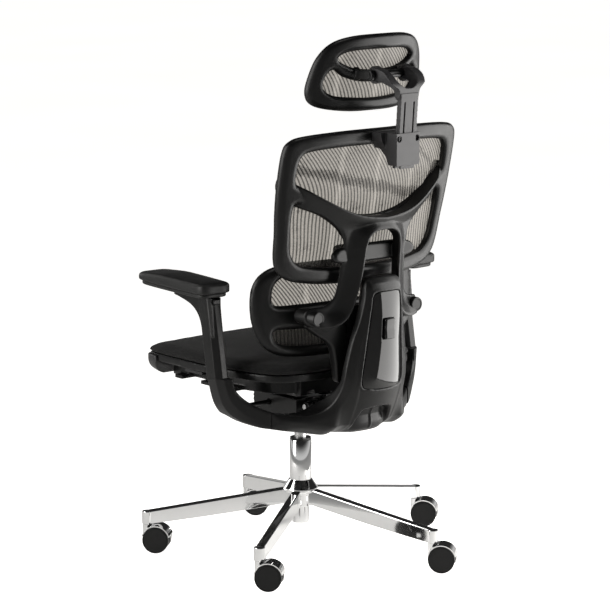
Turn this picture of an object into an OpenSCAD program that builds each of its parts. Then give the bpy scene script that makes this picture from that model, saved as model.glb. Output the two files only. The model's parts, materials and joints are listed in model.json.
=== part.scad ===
// Swivel office chair with a mesh back, a separate lumbar ring, a headrest and adjustable arms.
// The chair faces -Y, the sitter's left is +X, and the origin is on the floor under the swivel axis.

/* [Base] */
// Distance from the swivel axis to a castor's stem
base_r = 350; // [330:1:370]
// Direction of the first base arm
base_turn = 323; // [288:1:359]
// Height of the hub's top face
hub_top = 150; // [145:1:155]
// Width of a base arm's top face
arm_w = 24; // [20:1:28]

/* [Castors] */
// Wheel diameter
wheel_d = 60; // [58:1:60]
// Width over a pair of wheels
castor_w = 50; // [44:1:50]
// Trail from the stem's axis to the axle
trail = 22; // [20:1:24]
// Direction in which the castors trail at rest
castor_turn = 131; // [100:1:160]

/* [Column] */
// Outer diameter of the column tube
tube_d = 50; // [48:1:50]
// Top of the column tube
tube_top = 258; // [250:1:260]

/* [Seat] */
// Seat width
seat_w = 496; // [470:1:500]
// Front edge of the seat, in front of the swivel axis
seat_front = 288; // [280:1:292]
// Rear edge of the seat, behind the swivel axis
seat_rear = 188; // [180:1:195]
// Height of the seam between the seat pan and the cushion
seam_z = 452; // [448:1:454]
// Height of the cushion's top at its edge
seat_top = 474; // [470:1:476]

/* [Back] */
// Width of the back frame
back_w = 496; // [480:1:510]
// Lean of the mesh back from upright
back_lean = 12; // [10:0.5:13]
// Lean of the spine's slide, which the back frame's brace shares
slide_lean = 8; // [7:0.5:9]

/* [Arms] */
// Distance from the middle of the chair to an arm upright
arm_x = 281; // [278:1:286]
// Forward lean of the arm uprights
upright_lean = 9.5; // [8:0.5:11]
// Toe-in of the arm pads
pad_toe = 5; // [0:1:8]

/* [Hidden] */
$fn = 48;

fit = 0.05;        // radial clearance of a running fit
gap = 0.4;         // open seam between neighbouring mouldings
black = [0.10, 0.10, 0.10];
grey_black = [0.17, 0.17, 0.18];
gloss = [0.03, 0.03, 0.03];
chrome = [0.85, 0.86, 0.88];
steel = [0.60, 0.61, 0.63];
mesh_grey = [0.66, 0.64, 0.60];

// Curves: a Catmull-Rom spline through a few points, closed or open
steps = 6;
function blend(a, b, c, d, t) =
    0.5 * (2 * b + (c - a) * t + (2 * a - 5 * b + 4 * c - d) * t * t
    + (3 * b - a - 3 * c + d) * t * t * t);
function closed_curve(p) = let (n = len(p))
    [for (i = [0:n - 1]) for (k = [0:steps - 1])
        blend(p[(i + n - 1) % n], p[i], p[(i + 1) % n], p[(i + 2) % n], k / steps)];
function open_curve(p) = let (n = len(p))
    concat([for (i = [0:n - 2]) for (k = [0:steps - 1])
        blend(p[max(i - 1, 0)], p[i], p[i + 1], p[min(i + 2, n - 1)], k / steps)], [p[n - 1]]);
function reversed(p) = [for (i = [len(p) - 1:-1:0]) p[i]];
// A half outline from the middle line round to the middle line, with its mirror image
function both_halves(half) =
    concat(half, [for (q = reversed(half)) if (q[0] > 0.01) [-q[0], q[1]]]);

// A front view (x, z) extruded between two depths, and a side view (y, z) between two widths
module front_view(y0, y1) translate([0, y1, 0]) rotate([90, 0, 0]) linear_extrude(y1 - y0) children();
module side_view(x0, x1) translate([x0, 0, 0]) rotate([90, 0, 90]) linear_extrude(x1 - x0) children();
// Part of an upright cylinder's wall that leans back, its rear face through (0, y, z)
module curved_wall(radius, y, z, lean, t0, t1) {
    translate([0, y, z]) rotate([-lean, 0, 0]) translate([0, -radius, -500]) difference() {
        cylinder(r = radius - t0, h = 1000, $fn = 180);
        translate([0, 0, -1]) cylinder(r = radius - t1, h = 1002, $fn = 180);
    }
}
module slab(size, r) linear_extrude(size[2]) rounded(size[0], size[1], r);
module rounded(w, l, r) {
    square([w - 2 * r, l], center = true);
    square([w, l - 2 * r], center = true);
    for (x = [-1, 1], y = [-1, 1]) translate([x * (w / 2 - r), y * (l / 2 - r)]) circle(r);
}
module block(x0, x1, y0, y1, z0, z1) translate([x0, y0, z0]) cube([x1 - x0, y1 - y0, z1 - z0]);
module rod_x(x0, x1, y, z, r) translate([x0, y, z]) rotate([0, 90, 0]) cylinder(r = r, h = x1 - x0);
module rod_y(x, y0, y1, z, r) translate([x, y0, z]) rotate([-90, 0, 0]) cylinder(r = r, h = y1 - y0);
module on_side(side) mirror([side == "right" ? 1 : 0, 0, 0]) children();

// ---------------------------------------------------------------- base and column
socket_r = 13;                   // outer radius of a castor socket
socket_z = 64;                   // bottom of the castor sockets
tip_z = 94;                      // top of a base arm at its tip
hub_r = 31;
flange_r = 40;
hub_z = 105;                     // bottom of the hub, where the lower sleeve starts
sleeve_z = 64;
sleeve_r = 19.5;
stem_r = 5.5;
stem_top = 86;
wall = 4;
tube_r = tube_d / 2;
tube_floor = 108;
cone_top = 165;

module arm_side(r0, r1, top0, top1, low0, low1, w) side_view(-w, w)
    polygon([[r0, low0], [r1, low1], [r1, top1], [r0, top0]]);

// One arm, from inside the hub's wall out to the castor socket, open underneath
module base_arm() difference() {
    union() {
        arm_side(hub_r - 3, base_r, hub_top - 4, tip_z + 1, hub_z + 6, socket_z + 1, arm_w / 2);
        translate([0, base_r, socket_z]) cylinder(r = socket_r, h = tip_z - socket_z);
    }
    arm_side(hub_r + 14, base_r - 18, hub_top - 16, tip_z - wall, hub_z - 20, socket_z - 4,
             arm_w / 2 - wall);
    translate([0, base_r, socket_z - 1]) cylinder(r = stem_r + fit, h = stem_top + 3 - socket_z);
}

module base_star() color(chrome) {
    for (i = [0:4]) rotate([0, 0, base_turn - 90 + 72 * i]) base_arm();
    rotate_extrude() polygon([[15, sleeve_z], [sleeve_r, sleeve_z], [sleeve_r, hub_z], [hub_r, hub_z],
                              [hub_r, hub_top - 12], [flange_r, hub_top - 12], [flange_r, hub_top - 4],
                              [tube_r + 1.5, cone_top], [tube_r, cone_top], [tube_r, tube_floor],
                              [15, tube_floor]]);
}

module column_tube() color(chrome) difference() {
    translate([0, 0, tube_floor]) cylinder(r = tube_r, h = tube_top - tube_floor);
    translate([0, 0, tube_floor + 5]) cylinder(r = tube_r - 3, h = tube_top);
    translate([0, 0, tube_floor - 1]) cylinder(r = rod_r + fit, h = 10);
}

gas_r = 14;
module guide_bush() color(black) difference() {
    union() {
        translate([0, 0, tube_top - 70]) cylinder(r = tube_r - 3, h = 70);
        translate([0, 0, tube_top]) cylinder(r = tube_r - 1, h = 4);
    }
    translate([0, 0, tube_top - 80]) cylinder(r = gas_r + fit, h = 100);
}

// ---------------------------------------------------------------- gas spring
rod_r = 5;
rod_head_z = 236;
gas_z = 142;
gas_top = 356;
module piston_rod() color(steel) {
    translate([0, 0, 84]) cylinder(r = rod_r, h = rod_head_z - 84);
    translate([0, 0, rod_head_z]) cylinder(r = 11 - fit, h = 10);
}
module thrust_bearing() color(steel) difference() {
    translate([0, 0, tube_floor + 5.2]) cylinder(r = 13, h = 5);
    translate([0, 0, tube_floor]) cylinder(r = rod_r, h = 20);
}
module retaining_clip() color(steel) difference() {
    translate([0, 0, tube_floor - 5.2]) cylinder(r = 11, h = 5);
    translate([0, 0, tube_floor - 10]) cylinder(r = rod_r, h = 20);
}
module gas_cylinder() color(steel) difference() {
    translate([0, 0, gas_z]) cylinder(r = gas_r, h = gas_top - gas_z);
    translate([0, 0, gas_z + 10]) cylinder(r = 11, h = 140);
    translate([0, 0, gas_z - 1]) cylinder(r = rod_r + fit, h = 20);
}

// ---------------------------------------------------------------- seat mechanism
house_w = 60;                    // half width of the housing
house_y = [-95, 56];
house_z = [312, 366];
recline_y = 72;
recline_z = 350;
recline_r = 6;
tilt_y = -80;
tilt_z = 378;
tilt_r = 5;
spring_x = 34;
module mechanism_housing() color(black) difference() {
    union() {
        block(-house_w, house_w, house_y[0], house_y[1], house_z[0], house_z[1]);
        for (s = [-1, 1]) {
            block(s * 19 - 9, s * 19 + 9, house_y[1], recline_y, recline_z - 13, recline_z + 13);
            rod_x(s * 19 - 9, s * 19 + 9, recline_y, recline_z, 13);
            block(s * 46 - 8, s * 46 + 8, tilt_y - 10, tilt_y + 10, house_z[1], tilt_z);
            rod_x(s * 46 - 8, s * 46 + 8, tilt_y, tilt_z, 10);
        }
    }
    translate([0, 0, house_z[0] - 1]) cylinder(r = gas_r, h = 60);
    for (s = [-1, 1])
        block(s * 38 - 18, s * 38 + 18, house_y[0] + wall, house_y[1] - wall,
              house_z[0] + wall, house_z[1] + 1);
    rod_x(-80, 80, recline_y, recline_z, recline_r);
    rod_x(-80, 80, tilt_y, tilt_z, tilt_r);
    rod_y(0, house_y[0] - 5, house_y[0] + 10, knob_z, 6 + fit);
    rod_x(-90, -house_w + 20, lever_y, lever_z, 7);
    rod_x(house_w - 20, 90, lever_y, lever_z, 7);
}
module mechanism_pins() color(steel) {
    rod_x(-50, 50, recline_y, recline_z, recline_r);
    rod_x(-74, 74, tilt_y, tilt_z, tilt_r);
}
// The two preload springs lie in the housing, as closed coils
module recline_spring() color(steel)
    for (s = [-1, 1]) difference() {
        rod_y(s * spring_x, house_y[0] + 12, house_y[1] - wall - gap, 337, 9);
        rod_y(s * spring_x, house_y[0], house_y[1], 337, 5.5);
    }

knob_z = 337;
lever_y = -40;
lever_z = 346;
lever_reach = 152;
module tension_knob() color(black) difference() {
    union() {
        rod_y(0, house_y[0] - 44, house_y[0] - gap, knob_z, 26);
        rod_y(0, house_y[0] - 10, house_y[0] + 9, knob_z, 6);
    }
    for (i = [0:11]) translate([0, 0, knob_z]) rotate([0, 30 * i, 0]) translate([28, 0, 0])
        rod_y(0, house_y[0] - 50, house_y[0] - 12, 0, 4);
}
module lever(side) {
    s = side == "right" ? -1 : 1;
    rod_x(min(s * (house_w - wall + 0.2), s * lever_reach), max(s * (house_w - wall + 0.2), s * lever_reach),
          lever_y, lever_z, 5);
    translate([s * lever_reach, lever_y, lever_z - 5]) slab([54, 26, 10], 10);
}
module lift_lever() color(black) lever("right");
module tilt_lever() color(black) lever("left");

// ---------------------------------------------------------------- seat
frame_z = 390;                   // underside of the seat frame's plate
rail_x = 96;
rail_w = 20;
rail_z = [frame_z + 7, frame_z + 17];
pan_z = frame_z + 8;
pan_low = 402;                   // underside of the pan's outer part
lip = 16;                        // height of the pan's edge under the cushion
module seat_frame() color(grey_black) difference() {
    union() {
        block(-112, 112, -110, 120, frame_z, frame_z + 7);
        for (s = [-1, 1]) {
            block(s * rail_x - rail_w / 2, s * rail_x + rail_w / 2, -110, 120, rail_z[0], rail_z[1]);
            block(s * 64 - 7, s * 64 + 7, tilt_y - 10, tilt_y + 10, tilt_z, frame_z);
            rod_x(s * 64 - 7, s * 64 + 7, tilt_y, tilt_z, 10);
        }
    }
    rod_x(-80, 80, tilt_y, tilt_z, tilt_r + fit);
    block(-55, 55, -104, -56, frame_z - 1, frame_z + 8);
}

// Plan outlines of the seat: wide in the middle, narrower at the rear, with a full front
function seat_plan(inset) = let (w = seat_w / 2 - inset, f = seat_front - inset, r = seat_rear - inset)
    closed_curve(both_halves([[0, r], [w * 0.50, r - 5], [w * 0.80, r - 34], [w * 0.93, r - 110],
        [w, -60], [w, -f + 110], [w * 0.985, -f + 44], [w * 0.9, -f + 16], [w * 0.5, -f + 3], [0, -f]]));
trim_y = -seat_front + 72;

module seat_pan() color(black) difference() {
    union() {
        translate([0, 0, seam_z - lip]) linear_extrude(lip) polygon(seat_plan(7));
        translate([0, 0, pan_low]) linear_extrude(seam_z - pan_low) polygon(seat_plan(44));
        block(-126, 126, -150, 150, pan_z, seam_z - lip);
        for (s = [-1, 1])
            block(s * 170 - 52, s * 170 + 52, -178, 30, pan_low, pan_low + 8);
    }
    for (s = [-1, 1])
        block(s * rail_x - rail_w / 2 - gap, s * rail_x + rail_w / 2 + gap, -200, 200,
              pan_z - 1, rail_z[1] + gap);
    block(-300, 300, -300, trim_y, 300, seam_z - 4);
    block(lever_box[0] - 1, 400, lever_box[1] - 1, lever_box[2] + 1, pan_low - 10, seam_z - lip);
}

module seat_trim() color(grey_black) difference() {
    intersection() {
        translate([0, 0, pan_low]) linear_extrude(seam_z - pan_low) polygon(seat_plan(2.5));
        block(-300, 300, -300, trim_y - gap, 300, seam_z - 4 - gap);
        side_view(-300, 300)
            polygon([[trim_y, pan_low + 2], [trim_y, seam_z], [-300, seam_z], [-300, pan_low + 34],
                     [-seat_front + 10, pan_low + 16], [-seat_front + 32, pan_low + 6]]);
    }
    block(-190, 190, -seat_front + 40, trim_y + 1, pan_low - 10, seam_z - 12);
}

module seat_cushion() color(black) {
    translate([0, 0, seam_z + 0.3]) linear_extrude(seat_top - seam_z - 0.3) polygon(seat_plan(0));
}

lever_box = [186, -150, -86];    // inner x, and y range, of the seat slide lever
module slide_lever() color(grey_black) {
    block(lever_box[0] + gap, 216, lever_box[1] + gap, lever_box[2] - gap, seam_z - 32, seam_z - 25);
    rod_y(lever_box[0] + 9, lever_box[1] + gap, lever_box[2] - gap, seam_z - 27, 7);
}

// ---------------------------------------------------------------- back yoke, spine and arm brackets
split_x = 203;                   // seam between the yoke and an arm bracket
split_z = 441;                   // seam between an arm bracket and its upright
bracket_t = 15.5;                // half thickness of an arm upright across the chair

rear_line = [[288, 671], [296, 655], [299, 635], [304, 558], [297, 490], [278, 420], [259, 368],
             [242, 330], [230, 310]];
front_line = [[207, 310], [212, 340], [220, 380], [226, 430], [238, 520], [246, 600], [254, 671]];
spine_half = [[0, 672], [36, 670], [50, 658], [54, 625], [62, 580], [76, 530], [88, 470], [95, 420],
              [100, 375], [98, 345], [90, 327], [72, 318], [36, 316], [0, 316]];
yoke_low = [[0, 317], [105, 315], [201, 331], [242, 342], [271, 369], [288, 406],
            [arm_x + bracket_t, split_z], [arm_x + bracket_t + 1, split_z + 12]];
yoke_high = [[arm_x - bracket_t + 1, split_z + 12], [arm_x - bracket_t, split_z], [262, 422], [248, 402],
             [224, 383], [188, 367], [152, 362], [122, 371], [101, 394], [90, 420], [60, 431], [0, 431]];
yoke_rear = [[0, 250], [60, 249], [98, 238], [132, 206], [170, 168], [222, 126], [262, 96], [284, 80],
             [arm_x + bracket_t, 74]];
yoke_front = [[arm_x + bracket_t, 25], [arm_x - bracket_t, 25], [258, 48], [232, 76], [196, 104],
              [150, 136], [105, 168], [60, 196], [0, 206]];

module yoke_band() intersection() {
    front_view(-20, 280) polygon(concat(open_curve(yoke_low), open_curve(yoke_high)));
    translate([0, 0, 290]) linear_extrude(200)
        polygon(concat(open_curve(yoke_rear), [yoke_front[0]],
                       open_curve([for (i = [1:8]) yoke_front[i]])));
}

// The spine, its front set back by flank_t outside the slide
flank_t = 12;
slide_half = 46;
module spine_body() intersection() {
    front_view(150, 330) polygon(closed_curve(both_halves(spine_half)));
    union() {
        side_view(-slide_half, slide_half) polygon(concat(open_curve(rear_line), open_curve(front_line)));
        side_view(-160, 160) polygon(concat(open_curve(rear_line),
                                            [for (q = open_curve(front_line)) [q[0] + flank_t, q[1]]]));
    }
}

// A layer of the spine's rear skin, from depth d0 to depth d1 below the surface
module rear_skin(d0, d1) side_view(-100, 100)
    polygon(concat([for (q = open_curve(rear_line)) [q[0] - d0, q[1]]],
                   reversed([for (q = open_curve(rear_line)) [q[0] - d1, q[1]]])));
panel_half = [[0, 640], [24, 639], [34, 632], [38, 600], [46, 520], [56, 450], [54, 430],
              [44, 423], [0, 421]];
module panel_outline(grow) scale([1 + grow / 45, 1]) polygon(closed_curve(both_halves(panel_half)));

button_z = 557;
button_w = 28;
button_h = 44;
module button_space(grow, y0, y1)
    block(-button_w / 2 - grow, button_w / 2 + grow, y0, y1,
          button_z - button_h / 2 - grow, button_z + button_h / 2 + grow);

module slide_frame() translate([0, 285, 770]) rotate([-slide_lean, 0, 0]) children();
tongue_x = 28;
bracket_x = 46;                  // half width of the bracket that carries the yoke
bracket_end = 206.6;
bracket_z = [320, 346];
module back_yoke() color(black) difference() {
    union() {
        spine_body();
        for (s = ["left", "right"]) on_side(s) intersection() {
            yoke_band();
            block(-1, split_x - gap / 2, 0, 400, 200, 500);
        }
    }
    intersection() {
        rear_skin(-8, 4);
        front_view(150, 400) panel_outline(gap);
    }
    button_space(0.6, 284, 320);
    slide_frame() block(-tongue_x - 0.6, tongue_x + 0.6, -80, -11.4, -372, 0);
    front_view(226, 300) polygon([[-52, 300], [52, 300], [42, 382], [-42, 382]]);
    block(-bracket_x, bracket_x, 150, bracket_end, bracket_z[0], bracket_z[1]);
    for (s = ["left", "right"]) on_side(s) translate([50, 240, 314])
        rotate([0, 31, 67.5]) block(0, 60, -90, 90, -90, 90);
}
module rear_panel() color(gloss) difference() {
    intersection() {
        rear_skin(1, 4);
        front_view(150, 400) panel_outline(0);
    }
    button_space(0.6, 284, 320);
}
module height_button() color(gloss) button_space(0, 290, 307);

module back_bracket() color(black) difference() {
    union() {
        difference() {
            block(-bracket_x, bracket_x, recline_y + 17, bracket_end, bracket_z[0], bracket_z[1]);
            block(-34, 34, recline_y + 30, 190, bracket_z[0] + 8, bracket_z[1] + 1);
        }
        for (s = [-1, 1]) {
            block(s * 38 - 8, s * 38 + 8, recline_y, recline_y + 18, recline_z - 12, recline_z);
            rod_x(s * 38 - 8, s * 38 + 8, recline_y, recline_z, 12);
        }
    }
    rod_x(-60, 60, recline_y, recline_z, recline_r + fit);
}

// Arm brackets carry the yoke on from its seams up to the uprights
post_w = 14;
post_l = 26;
post_low = 20;                   // depth of the post's foot below the seam
module in_upright() translate([arm_x, 49.5, split_z]) rotate([upright_lean, 0, 0]) children();
module post_space(grow, low, high) in_upright() translate([0, 0, -low])
    linear_extrude(low + high) rounded(post_w + 2 * grow, post_l + 2 * grow, 3);
module arm_bracket(side) on_side(side) color(black) difference() {
    intersection() {
        yoke_band();
        block(split_x + gap / 2, 400, -50, 400, 200, 500);
    }
    in_upright() block(-50, 60, -80, 80, -gap, 80);
    post_space(0, post_low, 50);
}
module arm_bracket_left() arm_bracket("left");
module arm_bracket_right() arm_bracket("right");
module arm_posts() color(steel) for (s = ["left", "right"]) on_side(s) post_space(0, post_low, 150);

// ---------------------------------------------------------------- arms
upright_h = 196;                 // length of an upright along its slide
head_z = 622;                    // top of an upright, where the pad's carrier slides
trigger_y = 22;
module upright_outline() polygon([[-bracket_t, -19], [-10, -25], [8, -25], [bracket_t, -16],
                                  [bracket_t, 13], [5, 25], [-10, 25], [-bracket_t, 19]]);
module arm_upright(side) on_side(side) color(black) difference() {
    union() {
        in_upright() translate([0, 0, gap]) linear_extrude(upright_h) upright_outline();
        side_view(arm_x - bracket_t + 1, arm_x + bracket_t - 1)
            polygon(concat(open_curve([[18, 536], [4, 576], [-22, 599], [-62, 611], [-84, 615]]),
                           [[-84, head_z], [46, head_z], [46, 604], [54, 536]]));
    }
    post_space(fit * 4, 1, 165);
    block(0, 500, -200, 200, head_z, 800);
    block(arm_x - 9, arm_x + 9, trigger_y, 60, head_z - 14, head_z + 1);
}
module arm_upright_left() arm_upright("left");
module arm_upright_right() arm_upright("right");

module arm_trigger(side) on_side(side) color(grey_black) {
    block(arm_x - 8.5, arm_x + 8.5, trigger_y + 2, 52, head_z - 12.5, head_z - 4);
    rod_x(arm_x - 8.5, arm_x + 8.5, trigger_y + 6, head_z - 7, 3.5);
}
module arm_trigger_left() arm_trigger("left");
module arm_trigger_right() arm_trigger("right");

pad_y = -50;                     // middle of the pad along the chair
pivot_y = -30;                   // swivel axis of the pad
carrier_top = head_z + 7;
module at_pad() translate([arm_x + 14, pad_y, 0]) rotate([0, 0, -pad_toe]) children();
module pad_carrier(side) on_side(side) color(black) {
    translate([arm_x, pad_y + 18, head_z + gap]) slab([40, 150, carrier_top - head_z - gap], 14);
    translate([arm_x, pivot_y, head_z + 1]) cylinder(r = 8, h = 14);
}
module pad_carrier_left() pad_carrier("left");
module pad_carrier_right() pad_carrier("right");
pad_half = [[0, 135], [26, 134], [39, 121], [42, 76], [44, 0], [44, -76], [40, -120], [26, -135], [0, -137]];
module pad_outline() polygon(closed_curve(both_halves(pad_half)));
module arm_pad(side) on_side(side) color(black) difference() {
    at_pad() union() {
        translate([0, 0, carrier_top + gap]) linear_extrude(9) scale([0.9, 0.95]) pad_outline();
        translate([0, 0, carrier_top + gap + 9]) linear_extrude(25) pad_outline();
    }
    translate([arm_x, pivot_y, head_z]) cylinder(r = 8 + fit, h = 16);
}
module arm_pad_left() arm_pad("left");
module arm_pad_right() arm_pad("right");

// ---------------------------------------------------------------- back frame
frame_y = 295;                   // rear face of the frame in the middle of its top edge
frame_top = 998;
frame_r = 800;                   // radius to which the back wraps round the sitter
frame_t = 20;
brace_r = 400;
brace_t = 36;
ring_half = [[0, 998], [110, 997], [200, 991], [back_w / 2 - 14, 981], [back_w / 2 - 1, 956],
             [back_w / 2, 881], [244, 820], [239, 777], [234, 722], [223, 692], [196, 670],
             [150, 659], [90, 653], [0, 651]];
top_cell_half = [[0, 962], [110, 961], [185, 955], [206, 944], [212, 918], [211, 890], [204, 880],
                 [150, 850], [80, 816], [0, 804]];
lower_cell_half = [[0, 800], [90, 800], [150, 822], [200, 842], [209, 826], [207, 780], [200, 732],
                   [180, 706], [150, 697], [90, 691], [0, 689]];
brace_half = [[0, 804], [80, 816], [150, 850], [205, 884], [226, 900], [230, 870], [205, 840], [150, 816],
              [112, 792], [88, 770], [79, 745], [79, 715], [85, 685], [91, 652], [100, 628], [118, 612],
              [140, 606], [158, 602], [165, 586], [158, 569], [140, 563], [112, 562], [84, 574], [67, 600],
              [58, 636], [51, 674], [48, 715], [46, 740], [39, 761], [22, 772], [0, 774]];
knob_x = 144;
knob_zc = 584;
knob_r = 16.5;
knob_y = [166, 233];
leg_t = 26;                      // depth of the brace's two legs, below the strut
plate_y = [237, 254];            // cross plate that ties the legs together
plate_half = [[0, 742], [70, 741], [104, 735], [118, 721], [106, 706], [60, 701], [0, 701]];

module brace_wall(t0, t1) curved_wall(brace_r, 290, 770, slide_lean, t0, t1);
module back_frame() color(black) difference() {
    union() {
        intersection() {
            front_view(100, 320) difference() {
                polygon(closed_curve(both_halves(ring_half)));
                polygon(closed_curve(both_halves(top_cell_half)));
                polygon(closed_curve(both_halves(lower_cell_half)));
            }
            curved_wall(frame_r, frame_y, frame_top, back_lean, 0, frame_t);
        }
        intersection() {
            front_view(120, 320) polygon(closed_curve(both_halves(brace_half)));
            union() {
                brace_wall(0, leg_t);
                intersection() {
                    brace_wall(leg_t - 1, brace_t);
                    block(-300, 300, 0, 400, 766, 1000);
                }
            }
        }
        front_view(plate_y[0], plate_y[1]) polygon(closed_curve(both_halves(plate_half)));
        for (s = [-1, 1]) intersection() {
            front_view(120, 320) polygon([[s * 62, 436], [s * 82, 436], [s * 92, 520], [s * 104, 580],
                                          [s * 84, 600], [s * 74, 560], [s * 66, 500]]);
            brace_wall(leg_t - 5, brace_t + 5);
        }
        for (s = [-1, 1]) rod_y(s * knob_x, knob_y[0], knob_y[1], knob_zc, knob_r);
        for (s = [-1, 1])
            block(s * knob_x - 8, s * knob_x + 8, lumbar_y - 6, knob_y[0] + 1, knob_zc - 7, knob_zc + 7);
    }
    rod_x(-200, 200, lumbar_y, knob_zc, 3 + fit);
    intersection() {
        block(-300, 300, 0, 300, 645, 1010);
        curved_wall(frame_r, frame_y, frame_top, back_lean, frame_t, 120);
    }
}
// An outline drawn in about its middle height
function drawn_in(half, z, kx, kz) = [for (q = half) [q[0] * kx, z + (q[1] - z) * kz]];
module back_mesh() color(mesh_grey) intersection() {
    front_view(80, 320) polygon(closed_curve(both_halves(drawn_in(ring_half, 825, 0.965, 0.95))));
    curved_wall(frame_r, frame_y, frame_top, back_lean, frame_t + 0.3, frame_t + 1.8);
}
module back_slider() color(grey_black) slide_frame() {
    block(-61, 61, -36, -22, -320, -170);
    block(-tongue_x, tongue_x, -22, -12, -320, -215);
}

// ---------------------------------------------------------------- lumbar ring
lumbar_y = 134;                  // hinge axis of the lumbar ring
lumbar_rear = 158;
lumbar_r = 700;
lumbar_t = 18;
lumbar_half = [[0, 695], [110, 695], [172, 691], [208, 676], [228, 648], [233, 606], [227, 560], [208, 518],
               [172, 492], [120, 484], [60, 482], [0, 482]];
lumbar_upper = [[0, 668], [110, 669], [156, 665], [179, 650], [186, 624], [177, 604], [110, 602], [0, 602]];
lumbar_lower = [[0, 546], [110, 546], [172, 548], [184, 538], [175, 522], [146, 512], [90, 508], [0, 508]];
module lumbar_frame() color(black) difference() {
    intersection() {
        front_view(80, 240) difference() {
            polygon(closed_curve(both_halves(lumbar_half)));
            polygon(closed_curve(both_halves(lumbar_upper)));
            polygon(closed_curve(both_halves(lumbar_lower)));
        }
        curved_wall(lumbar_r, lumbar_rear, 590, 0, 0, lumbar_t);
    }
    for (s = [-1, 1])
        block(s * knob_x - 9, s * knob_x + 9, lumbar_y - 10, 240, knob_zc - 10, knob_zc + 10);
    for (s = [-1, 1]) rod_x(s * knob_x - 14, s * knob_x + 14, lumbar_y, knob_zc, 3);
}
module lumbar_pins() color(steel)
    for (s = [-1, 1]) rod_x(s * knob_x - 14, s * knob_x + 14, lumbar_y, knob_zc, 3);
module lumbar_mesh() color(mesh_grey) intersection() {
    front_view(60, 240) polygon(closed_curve(both_halves(drawn_in(lumbar_half, 589, 0.95, 0.9))));
    curved_wall(lumbar_r, lumbar_rear, 590, 0, lumbar_t + 0.3, lumbar_t + 1.8);
}

// ---------------------------------------------------------------- headrest
post_lean = 4.5;                 // lean of the headrest post
post_t = 12;
post_half_w = 25;
bracket_low = 922;
bracket_high = 992;
shaft_y = 300;
shaft_z = 1115;
shaft_r = 9;
module in_post() translate([0, 350, 960]) rotate([-post_lean, 0, 0]) children();
module headrest_bracket() color(grey_black) difference() {
    union() {
        side_view(-33, 33) polygon([[284, bracket_high], [358, bracket_high], [358, bracket_low],
            [330, bracket_low], [322, 940], [300, 958], [268, 962]]);
        for (s = [-1, 1]) front_view(262, 322)
            polygon([[s * 32, bracket_high], [s * 48, bracket_high], [s * 43, 972], [s * 32, 956]]);
        block(-20, 20, 330, 356, bracket_low - 7, bracket_low + 1);
    }
    curved_wall(frame_r, frame_y + gap, frame_top, back_lean, 0, 150);
    in_post() block(-post_half_w - 0.3, post_half_w + 0.3, -8.3, 4.3, -60, 60);
    for (s = [-1, 1]) rod_y(s * 25.5, 349, 360, 980, 6.5);
    for (s = [-1, 1]) rod_y(s * 28.5, 330, 360, 980, 2);
}
module bracket_screws() color(steel) for (s = [-1, 1]) rod_y(s * 28.5, 331, 351, 980, 2);

module headrest_post() color(grey_black) difference() {
    union() {
        in_post() difference() {
            block(-post_half_w, post_half_w, -8, 4, -28, 118);
            for (s = [-1, 1]) block(s * 13 - 1.5, s * 13 + 1.5, 1, 5, -30, 100);
        }
        intersection() {
            front_view(270, 380) difference() {
                polygon(closed_curve(both_halves([[0, 1062], [post_half_w, 1064], [30, 1085], [48, 1100],
                    [52, 1120], [44, 1136], [0, 1140]])));
                translate([0, 1121]) circle(33);
            }
            side_view(-60, 60) translate([16, 0]) polygon(concat(
                open_curve([[344, 1062], [346, 1088], [338, 1106], [318, 1124], [286, 1131]]),
                [[270, 1126], [270, 1108]],
                open_curve([[286, 1103], [308, 1101], [324, 1090], [330, 1062]])));
        }
        for (s = [-1, 1]) rod_x(s * 41 - 7, s * 41 + 7, shaft_y, shaft_z, 19);
    }
    rod_x(-80, 80, shaft_y, shaft_z, shaft_r + fit);
}
module headrest_shaft() color(black) {
    rod_x(-68, 68, shaft_y, shaft_z, shaft_r);
}
head_y = 266;                    // rear face of the headrest frame in the middle
head_r = 326;
head_t = 17;
head_lean = 10;
lug_x = 60;                      // place of the lugs that hold the shaft
head_half = [[0, 1200], [74, 1197], [119, 1183], [145, 1152], [157, 1110], [160, 1077], [150, 1053],
             [122, 1040], [64, 1032], [0, 1031]];
head_upper = [[0, 1166], [70, 1164], [99, 1155], [100, 1144], [60, 1127], [0, 1122]];
head_lower = [[0, 1095], [46, 1097], [86, 1109], [110, 1125], [125, 1112], [128, 1087], [104, 1069],
              [50, 1062], [0, 1060]];
module head_wall(t0, t1) curved_wall(head_r, head_y, 1110, head_lean, t0, t1);
module headrest_frame() color(black) difference() {
    union() {
        intersection() {
            front_view(140, 320) difference() {
                polygon(closed_curve(both_halves(head_half)));
                polygon(closed_curve(both_halves(head_upper)));
                polygon(closed_curve(both_halves(head_lower)));
            }
            head_wall(0, head_t);
        }
        for (s = [-1, 1]) {
            block(s * lug_x - 5, s * lug_x + 5, 254, shaft_y, shaft_z - 11, shaft_z + 11);
            rod_x(s * lug_x - 5, s * lug_x + 5, shaft_y, shaft_z, 12);
        }
    }
    rod_x(-80, 80, shaft_y, shaft_z, shaft_r);
}
module headrest_mesh() color(mesh_grey) intersection() {
    front_view(120, 320) polygon(closed_curve(both_halves(drawn_in(head_half, 1115, 0.94, 0.88))));
    head_wall(head_t + 0.3, head_t + 1.8);
}

// ---------------------------------------------------------------- castors
wheel_r = wheel_d / 2;
web_t = 6;                       // half thickness of the fork between the wheels
function castor_place(i) = base_turn + 72 * (i - 1);
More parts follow.
